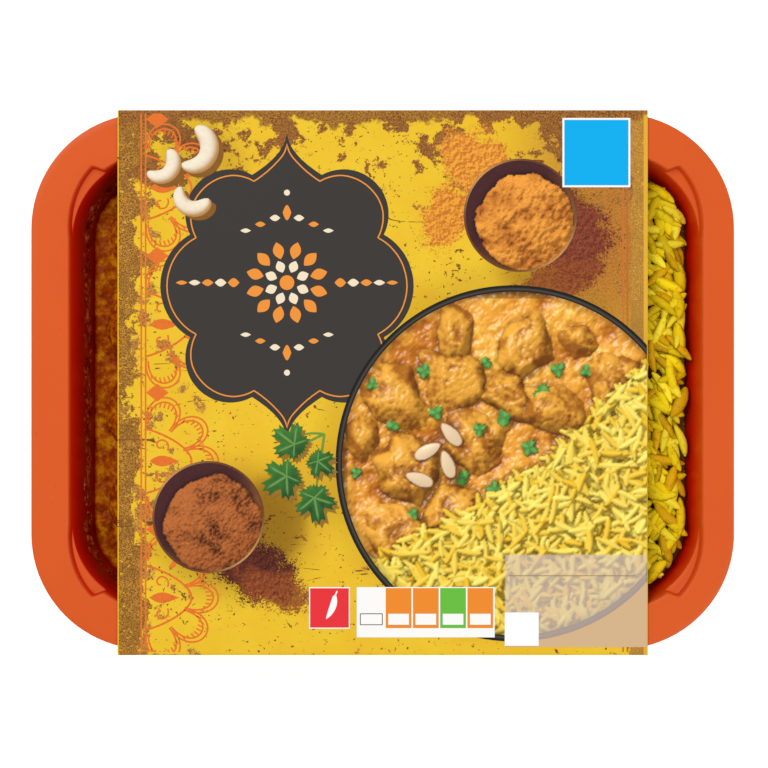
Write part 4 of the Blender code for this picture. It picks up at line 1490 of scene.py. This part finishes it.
    def rim(self, layer: PrintLayer) -> None:
        """The dark plate's rim and the panel's tint on the paint outside it."""
        low, high = PANEL
        x, y = np.meshgrid(np.linspace(low[0], high[0], 30), np.linspace(low[1], high[1], 24))
        layer.patch(x, y, "#D6B48A", 4)

        def dark(share: Array, angle: Array, x: Array, y: Array) -> Array:
            """Black enamel with a paler line along its back."""
            line = ease(share, 0.968, 0.978) * (1 - ease(share, 0.978, 0.99))
            return self.veil(x, y, blend_colours("#1C1C1A", "#4A4640", line))

        inner = 1 - self.ring / self.plate_radius
        layer.disc(self.plate_centre, self.plate_radius, dark, 8, rings=8, steps=720, inner=inner)

    def nuts(self, layer: PrintLayer) -> None:
        """Three curved cream nuts at the upper left, each with a soft brown shadow."""
        run = np.linspace(-1, 1, 48)
        girth = (1 - np.abs(run) ** 5) ** 0.5 * (1 - 0.22 * run ** 2 + 0.1 * run)
        for *place, size, turn, reach in self.NUTS:
            path = polar(place, size, turn + reach * run)
            layer.stroke(path + np.array([1.5, -1.3]), 5.4 * girth * size / 5.6, "#8A5C22", 5)
            layer.tube(path, 5.6 * girth * (size / 5.6) ** 0.7, ("#B9874C", "#F6EAD2"), 7)

    def leaflet(self, layer: PrintLayer, centre: Place, size: float, turn: float, level: int) -> None:
        """A leaf of five toothed lobes with veins, over its own shadow."""
        lobes = ((0.0, 1.0), (1.05, 0.86), (-1.05, 0.86), (2.15, 0.62), (-2.15, 0.62))

        def away(angle: Array, lobe: float) -> Array:
            """Angle from a lobe's middle."""
            return np.abs((angle - turn - lobe + np.pi) % (2 * np.pi) - np.pi)

        def outline(angle: Array) -> Array:
            """Reach of the leaf's edge: the longest lobe there, cut by teeth."""
            reach = [long * (0.5 + 0.5 * np.exp(-((away(angle, lobe) / 0.44) ** 4))) for lobe, long in lobes]
            return size * np.max(reach, axis=0) * (1 - 0.2 * np.abs(np.sin(11.5 * (angle - turn))) ** 0.7)

        def tone(share: Array, angle: Array, x: Array, y: Array) -> Array:
            """Uneven green, lighter towards the lamp, with a pale vein along each lobe."""
            vein = np.max([np.exp(-((away(angle, lobe) * share / 0.05) ** 2)) for lobe, _ in lobes], axis=0)
            lit = 0.5 + 0.5 * smooth_noise(x + 90, y + 90, 1.8, 47, 3)
            green = blend_colours("#164222", "#4E8E3C", 0.45 * lit + 0.3 * np.cos(angle - 2.2) * share + 0.2)
            return blend_colours(green, "#8DB866", 0.6 * vein * (1 - ease(share, 0.6, 0.95)))

        layer.disc((centre[0] + 0.9, centre[1] - 1.1), outline, "#97702A", level, rings=2, steps=180)
        layer.disc(centre, outline, tone, level + 1, rings=14, steps=240)

    def sprig(self, layer: PrintLayer) -> None:
        """A herb sprig between the bowl and the plate: stems and four toothed leaves."""
        run, (x, y) = np.linspace(0, 1, 24), (-17.5, -15.5)
        for index, (end_x, end_y, bow) in enumerate(self.STEMS):
            path = pair(x + (end_x - x) * run, y + (end_y - y) * run + bow * np.sin(np.pi * run))
            layer.stroke(path, 0.75 - 0.35 * run, "#6F9A3E", 7 + index)
        for *place, size, turn, level in self.LEAVES:
            self.leaflet(layer, place, size, turn, level)


@dataclass
class LabelPrint:
    """Plain label fields along the sleeve's lower edge and corner, all without words."""

    sleeve: CardSleeve

    def build(self) -> Piece:
        """Print the square tags, the row of boxes and the date panel's line and box."""
        layer = PrintLayer(self.sleeve, "label_fields", PrintInk("label_ink", grain=0.0, roughness=0.38))
        white, amber = Palette.WHITE, Palette.AMBER
        self.framed(layer, (53.9, 58.6), (74.3, 79.4), Palette.BLUE, 0.6)
        self.framed(layer, (-22.1, -73.8), (-9.8, -61.3), Palette.RED, 0.35)
        self.chilli(layer, (-16.0, -67.3), white)
        layer.rectangle((-7.8, -76.4), (33.6, -61.3), white, 11)
        for index, tone in enumerate((white, amber, amber, Palette.GREEN, amber)):
            left = -7.4 + 8.17 * index
            layer.rectangle((left + 0.15, -73.6), (left + 7.85, -61.6), tone, 14)
            if tone is white:
                self.outline(layer, (left + 0.7, -72.6), (left + 7.3, -69.3), Palette.CHARCOAL, 16)
            else:
                layer.rectangle((left + 0.9, -72.6), (left + 7.1, -69.3), white, 16)
        low, high = PANEL
        layer.stroke(np.linspace((low[0] + 1.2, -57.9), (high[0] - 3.4, -57.9), 20), 0.22, "#A58C66", 14)
        layer.rectangle((low[0], low[1] + 0.4), (low[0] + 10.2, low[1] + 10.4), "#FFFFFF", 14)
        return layer.build()

    @staticmethod
    def framed(layer: PrintLayer, low: Place, high: Place, colour: Tone, edge: float) -> None:
        """A coloured square with a white border."""
        layer.rectangle(low, high, Palette.WHITE, 11)
        layer.rectangle((low[0] + edge, low[1] + edge), (high[0] - edge, high[1] - edge), colour, 14)

    @staticmethod
    def outline(layer: PrintLayer, low: Place, high: Place, colour: Tone, level: int) -> None:
        """A thin frame of four lines."""
        corners = [low, (high[0], low[1]), high, (low[0], high[1])]
        for first, second in zip(corners, corners[1:] + corners[:1]):
            layer.stroke(np.linspace(first, second, 6), 0.25, colour, level)

    @staticmethod
    def chilli(layer: PrintLayer, centre: Place, colour: Tone) -> None:
        """A plain chilli pod: a tapering curve with a short stalk."""
        run = np.linspace(0, 1, 24)
        x, y = centre[0] + 1.6, centre[1]
        layer.stroke(pair(x - 2.6 * run ** 2, y + 3.4 - 7.0 * run),
                     2.0 * np.clip(np.sin(np.pi * (0.12 + 0.88 * run)), 0, 1) ** 0.7, colour, 16)
        layer.stroke(pair(x + 0.8 * run, y + 3.2 + 1.6 * run), 0.45, colour, 16)


@dataclass
class FoodFill:
    """A food that fills a well: a closed body under a relief, clear of the wall and the base."""

    tray: FormedTray

    WAIST = 34.5
    FOOT = 38.9
    TOE = 4.3
    CLEAR = 0.35

    def body(self, name: str, slot: str, well: Well, depth: float, rows: int, share: Array, height: Field,
             material: Material, tint: Tone | Field) -> Piece:
        """Make the body: the relief on top, then the wall's slope down to a waist and a foot.

        Args:
            name: Object name, which is also the replaced node's after its first word.
            slot: The record's material slot; not used.
            well: The compartment.
            depth: Depth of the relief's outline.
            rows: Rows across the well.
            share: Shares of each row's reach.
            height: Function of x and y that gives the relief.
            material: Its finish.
            tint: The ink, or a function of x and y that gives it.

        Returns:
            The piece.
        """
        levels = []
        for level, margin, down in ((depth, 0.03, depth), (self.WAIST, self.CLEAR, self.WAIST),
                                    (self.WAIST, self.CLEAR + self.TOE, self.FOOT)):
            x, y = well.lattice(rows, share, level, margin)
            levels.append(cloud_of(x, y, self.tray.top - down))
        top, waist, foot = levels
        top[:, 2] = height(top[:, 0], top[:, 1])
        size = len(top)
        number = np.arange(size).reshape(rows, -1)
        ring = np.concatenate([number[0], number[1:, -1], number[-1, -2::-1], number[-2:0:-1, 0]])
        belt = 2 * size + np.arange(len(ring))
        points = np.concatenate([top, foot, waist[ring]])
        ink = tint(points[:, 0], points[:, 1]) if callable(tint) else as_light(tint)
        sheet = grid_faces(rows, len(share))
        faces = [sheet, sheet[:, ::-1] + size] + [
            np.stack([upper, lower, np.roll(lower, -1), np.roll(upper, -1)], axis=1)
            for upper, lower in ((ring, belt), (belt, ring + size))]
        points = points + (0, self.tray.centre_y, 0)
        obj = mesh_object(name, points, faces, [material], colours=ink, sharp_angle=80)
        merge_points(obj, 0.001)
        return finish_piece(obj, (name.split("_")[0],))


@dataclass
class CurryFill(FoodFill):
    """The curry: a lumpy body of sauce, the chicken pieces that show, and film left on the wall."""

    level: float = 17.0
    relief: float = 1.5

    SUNK = -0.12

    def height(self, x: Array, y: Array) -> Array:
        """Height of the sauce's face: broad swells, lumps and a rounded shore at the wall."""
        swell, lumps = smooth_noise(x + 90, y + 90, 11.0, 81, 2), smooth_noise(x + 90, y + 90, 5.2, 82, 3)
        ridge = 1 - np.abs(smooth_noise(x + 90, y + 90, 2.4, 83, 2))
        edge = np.clip(self.tray.curry_well.clearance(x, y, self.level), 0, None)
        shore = 1 - np.exp(-(edge ** 1.4))
        lumpy = self.relief * (0.55 * swell + 0.75 * lumps) + 0.45 * (ridge - 0.7)
        return self.tray.top - self.level + lumpy * (0.25 + 0.75 * shore) - 0.9 * (1 - shore)

    def painted_wall_shade(self, x: Array, y: Array) -> Array:
        """Tint of the sauce: painted shade, dark red along the wall where the sauce meets it."""
        edge = self.tray.curry_well.clearance(x, y, self.level)
        edge = edge + 0.5 * smooth_noise(x + 90, y + 90, 2.5, 84, 2)
        return blend_colours((0.66, 0.08, 0.4), (1.0, 1.0, 1.0), ease(edge, 0.1, 1.6))

    def build(self) -> list[Piece]:
        """Make the sauce, the pieces and the film."""
        share = np.append(np.linspace(0, 0.78, 56)[:-1], np.linspace(0.78, 1.0, 66))
        sauce = self.body("curry_sauce", "curry_sauce", self.tray.curry_well, self.level + 0.6, 300, share,
                          self.height, KormaSauce("korma_sauce", tinted=True).build(), self.painted_wall_shade)
        coat = KormaSauce("sauce_coated_chicken", lump_mm=1.9).build()
        film = KormaSauce("sauce_film", Palette.FILM_LIGHT, Palette.FILM, Palette.FILM_DARK, 1.6, 0.6)
        return [sauce, *(self.chicken(number, coat) for number in range(1, 5)), self.wall_film(film.build())]

    def chicken(self, number: int, material: Material) -> Piece:
        """One chicken piece: a squared ball pushed in and out by noise, with fibres along it.

        The direction of each point is a grid of longitude and latitude, and its reach is a
        superellipsoid's, times broad dents and fine fibres.

        Args:
            number: Which piece.
            material: Its finish.

        Returns:
            The piece.
        """
        node, seed, rows, columns = f"chicken_{number}", number * 7, 90, 160
        low, high = box_mm(node)
        longitude, latitude = np.meshgrid(np.linspace(0, 2 * np.pi, columns, endpoint=False),
                                          np.linspace(-np.pi / 2, np.pi / 2, rows))
        ray = np.stack([np.cos(latitude) * np.cos(longitude), np.cos(latitude) * np.sin(longitude),
                        np.sin(latitude)], axis=-1)
        a, b, c = np.moveaxis(ray * 2 + 20, -1, 0)
        broad = (smooth_noise(a, b, 1.3, seed, 2) + smooth_noise(b, c, 1.3, seed + 1, 2)) / 2
        fine = (smooth_noise(a, b + c, 0.34, seed + 2, 3) + smooth_noise(a + c, b, 0.3, seed + 3, 3)) / 2
        reach = (np.abs(ray) ** 2.5).sum(-1) ** (-1 / 2.5) * (0.9 + 0.12 * broad + 0.075 * fine)
        points = (high + low) / 2 + ray * reach[..., None] * (high - low) / 2 * np.array([0.98, 1.06, 1.0])
        points = np.clip(points, low - 0.3, high + 0.3).reshape(-1, 3)
        obj = mesh_object(f"chicken_piece_{number}", points, [grid_faces(rows, columns, wrap=True)],
                          [material], sharp_angle=80)
        merge_points(obj, 0.001)
        return finish_piece(obj, (node,))

    def wall_film(self, material: Material) -> Piece:
        """Thin sauce left on the end wall, in a ragged strip of drips and droplets.

        The strip's points lie on the wall at a place along it and a depth. Noise lifts them off
        the wall, and where the noise is low they stay sunk in it.

        Args:
            material: Its finish.

        Returns:
            The piece.
        """
        well, columns, rows = self.tray.curry_well, 620, 26
        run = np.linspace(0, 1, columns)
        depth = np.linspace(self.level - 6.6, self.level - 1.0, rows)[:, None]
        inset = well.inset(depth)
        radius = well.corner - inset
        straight = well.half_width - inset - radius
        s = (2 * run - 1) * (straight + radius * np.pi / 2 * 0.93)
        over = np.clip(np.abs(s) - straight, 0, None) / radius
        share = (depth - depth[0]) / (depth[-1] - depth[0])
        middle = 0.5 + 0.28 * smooth_noise(s, 0 * s, 9.0, 91, 3)
        belt = np.exp(-(((share - middle) / 0.42) ** 2))
        lift = 1.3 * belt * (0.3 + 1.0 * smooth_noise(s + 70, 1.5 * depth, 1.5, 92, 3)) - 0.2
        lift = np.clip(lift, self.SUNK, 0.5)
        fade = np.minimum(ease(share, 0, 0.1), 1 - ease(share, 0.9, 1.0))
        fade = fade * ease(1 - np.abs(2 * run - 1), 0, 0.03)
        lift = np.where(fade < 1, np.minimum(lift, self.SUNK + 0.9 * fade), lift)
        reach = radius - lift * math.cos(well.draft)
        x = well.side * (well.far - inset - radius + reach * np.cos(over))
        y = np.sign(s) * (np.minimum(np.abs(s), straight) + reach * np.sin(over)) + self.tray.centre_y
        z = self.tray.top - depth + lift * math.sin(well.draft)
        obj = mesh_object("sauce_film", cloud_of(x, y, z), [grid_faces(rows, columns)], [material],
                          sharp_angle=80)
        if sum(face.normal.x * face.area for face in obj.data.polygons) < 0:
            obj.data.flip_normals()
        thicken(obj, 0.15)
        return finish_piece(obj)


@dataclass
class RiceFill(FoodFill):
    """The rice: a core with small bumps, under loose grains that rest on each other."""

    edge_depth: float = 10.5
    rise: float = 3.2
    rise_width: float = 26.0
    shore: float = 0.9
    grain_length: float = 11.4
    grain_width: float = 3.7
    cell: float = 0.5
    shown_from: float = 74.0

    SIDES = 8

    def core_height(self, x: Array, y: Array) -> Array:
        """Height of the heap: it climbs from the wall along a quarter sine to an uneven top."""
        edge = np.clip(self.tray.rice_well.clearance(x, y, self.edge_depth), 0, None)
        rise = np.sin(np.clip(edge / self.rise_width, 0, 1) * np.pi / 2)
        uneven = 0.7 * smooth_noise(x, y + 100, 15.0, 101, 2) * rise
        shore = self.shore * np.exp(-(((edge + 0.9 * smooth_noise(x, y + 100, 3.0, 105)) / 2.6) ** 2))
        return self.tray.top - self.edge_depth - 0.9 + self.rise * rise + uneven - shore

    def build(self) -> list[Piece]:
        """Make the core, painted dark as the shade between the grains, and the grains."""
        finish = PilauRice().build()

        def bumpy(x: Array, y: Array) -> Array:
            """The heap's height with bumps as large as grains, in bent rows."""
            bumps = smooth_noise(x + 2 * smooth_noise(x, y + 90, 5, 103), y + 90, 1.7, 102, 2)
            return self.core_height(x, y) + 0.5 * bumps

        # Painted shade: the core is dark, for the shade in the gaps between the grains.
        core = self.body("rice_core", "rice", self.tray.rice_well, self.edge_depth + 0.9 + self.shore, 220,
                         np.linspace(0, 1, 140), bumpy, finish, Palette.RICE_SHADE)
        return [core, self.grains(finish)]

    def grain_shape(self) -> Array:
        """Unit grain: rings of points along a bent axis, round in section and blunt at its ends."""
        along = np.array([-1.0, -0.95, -0.78, -0.4, 0.0, 0.4, 0.78, 0.95, 1.0])[:, None]
        girth = np.array([0.14, 0.32, 0.62, 0.92, 1.0, 0.93, 0.60, 0.28, 0.1])[:, None]
        around = np.linspace(0, 2 * np.pi, self.SIDES, endpoint=False)
        return np.stack([along + 0 * around, girth * np.cos(around), girth * np.sin(around)], axis=-1)

    def grains(self, material: Material) -> Piece:
        """Drop grains one by one on a height map, so that each lies on what is under it.

        A grain's place and turn are drawn with a seed. The map under its axis gives a least
        height at both ends, and its upper side is then stamped into the map.

        Args:
            material: Their finish.

        Returns:
            The grains, as one piece.
        """
        well, rng = self.tray.rice_well, np.random.default_rng(7)
        low, high, half = well.near, well.far, well.half_width
        places = np.meshgrid(np.arange(low, high, self.cell), np.arange(-half, half, self.cell), indexing="ij")
        ground = np.maximum(self.core_height(*places), self.tray.top - self.edge_depth - 1.6)

        def under(x: Array, y: Array) -> tuple[Array, Array]:
            """Cells of the height map at some places."""
            return tuple(np.clip(((place - start) / self.cell).astype(int), 0, size - 1)
                         for place, start, size in zip((x, y), (low, -half), ground.shape))

        shape = self.grain_shape()
        points, colours = [], []
        limit = box_mm("rice")[1][2]
        tones = [as_light(tone) for tone in ("#E8C406", "#F6D40E", "#D6A202", "#FFE430")]
        # Painted shade: each grain is darker on its underside and sides and lighter on its top.
        painted_underside_shade = 0.34 + 0.76 * ease(shape[..., 2] / shape[..., 2].max(axis=1, keepdims=True), -0.5, 0.9)
        taps = np.linspace(-0.9, 0.9, 7)
        for attempt in range(1500):
            shown = attempt % 5 < 3
            y = rng.uniform(-half, half)
            turn = rng.normal(-0.95, 0.55) if rng.uniform() < 0.55 else rng.uniform(0, 2 * np.pi)
            cosine, sine = math.cos(turn), math.sin(turn)
            length = self.grain_length * rng.uniform(0.74, 1.08) / 2
            last = high - 4.0 - 0.9 * length * abs(cosine)
            x = (last - (last - self.shown_from) * rng.uniform() ** 1.4 if shown
                 else rng.uniform(low, self.shown_from))
            radius = self.grain_width * rng.uniform(0.74, 1.14) / 2
            bend, roll = rng.uniform(-1.1, 1.1), rng.uniform(-0.6, 0.6)
            tone = tones[rng.integers(4)] * rng.uniform(0.76, 1.08)
            axis_x, axis_y = x + taps * length * cosine, y + taps * length * sine
            support = ground[under(axis_x, axis_y)]
            slope, rest = np.polyfit(taps, support, 1)
            slope = float(np.clip(slope, -2.4, 2.4)) + rng.uniform(0, 1.5) * cosine * shown
            middle = (support - slope * taps).max() * 0.6 + rest * 0.4 + radius * 0.72
            depth = self.tray.top - middle - slope * taps
            room = well.clearance(axis_x, axis_y, depth + 0.3) - radius * (1 - 0.75 * np.abs(taps) ** 2.5)
            if middle + abs(slope) * 0.5 + radius > limit or room.min() < 0.3:
                continue
            along, across, up = np.moveaxis(shape * (length, radius, radius * 0.85), -1, 0)
            across = across + bend * (1 - shape[..., 0] ** 2) * 0.8
            across, up = turned(across, -up, roll)
            points.append(cloud_of(x + along * cosine - across * sine,
                                   y + along * sine + across * cosine + self.tray.centre_y,
                                   middle + slope * shape[..., 0] - up))
            colours.append(tone * painted_underside_shade.reshape(-1, 1))
            for offset in (-0.5, 0.0, 0.5):
                cells = under(axis_x - offset * radius * sine, axis_y + offset * radius * cosine)
                ground[cells] = np.maximum(ground[cells], middle + slope * taps + radius * 0.55)
        size = shape[..., 0].size
        first = np.arange(len(points))[:, None] * size
        sides = grid_faces(*shape.shape[:2], wrap=True)
        caps = [first + np.arange(self.SIDES - 1, -1, -1), first + size - self.SIDES + np.arange(self.SIDES)]
        faces = [(sides + first[:, :, None]).reshape(-1, 4), *caps]
        obj = mesh_object("rice_grains", np.concatenate(points), faces, [material],
                          colours=np.concatenate(colours), sharp_angle=80)
        LOG.info("rice grains: %d", len(points))
        return finish_piece(obj)


@dataclass
class Studio:
    """Pale floor, soft light and the camera straight above, as in a pack shot."""

    frame_width: float = 230.4
    lens: float = 300.0
    sensor: float = 36.0
    centre: Place = (0.4, -0.4)

    def build(self) -> None:
        """Place the floor, the lights and the camera."""
        corners = np.array([(-1500, -1500, 0), (1500, -1500, 0), (1500, 1500, 0), (-1500, 1500, 0)], float)
        mesh_object("floor", corners, [np.array([[0, 1, 2, 3]])], [StudioPaper().build()])
        self.world()
        camera = bpy.data.cameras.new("camera")
        camera.lens, camera.sensor_width, camera.clip_end = self.lens, self.sensor, 10.0
        seat = place_object("camera", camera)
        height = box_mm("tray")[1][2] + self.frame_width * self.lens / self.sensor
        seat.location = np.array((*self.centre, height)) * TO_METRES
        bpy.context.scene.camera = seat
        self.light("key_softbox", (-0.35, 0.45, 0.9), (0.55, 0.55), 4.0)
        self.light("fill_softbox", (0.5, -0.3, 0.8), (0.6, 0.6), 2.0)
        bpy.context.scene.view_settings.view_transform = "Standard"
        LOG.info("placed floor, lights and camera")

    @staticmethod
    def world() -> None:
        """An even white sky."""
        world = bpy.data.worlds.new("studio")
        bpy.context.scene.world = world
        world.use_nodes = True
        sky = world.node_tree.nodes["Background"]
        sky.inputs["Color"].default_value = (1.0, 1.0, 1.0, 1.0)
        sky.inputs["Strength"].default_value = 0.58

    @staticmethod
    def light(name: str, place: tuple[float, float, float], size: Place, power: float) -> None:
        """A rectangular softbox that faces the meal."""
        lamp = bpy.data.lights.new(name, "AREA")
        lamp.shape = "RECTANGLE"
        lamp.size, lamp.size_y = size
        lamp.energy = power
        obj = place_object(name, lamp)
        obj.location = place
        x, y, z = place
        obj.rotation_euler = (math.atan2(math.hypot(x, y), z), 0.0, math.atan2(x, -y))


def main() -> None:
    """Build the meal piece by piece, then the studio."""
    logging.basicConfig(level=logging.INFO, format="%(name)s: %(message)s")
    tray, sleeve = FormedTray(), CardSleeve()
    tray.build()
    sleeve.build()
    for part in (TrimPrint(sleeve), DishPrint(sleeve), LabelPrint(sleeve), CurryFill(tray), RiceFill(tray)):
        part.build()
    Studio().build()


if __name__ == "__main__":
    main()
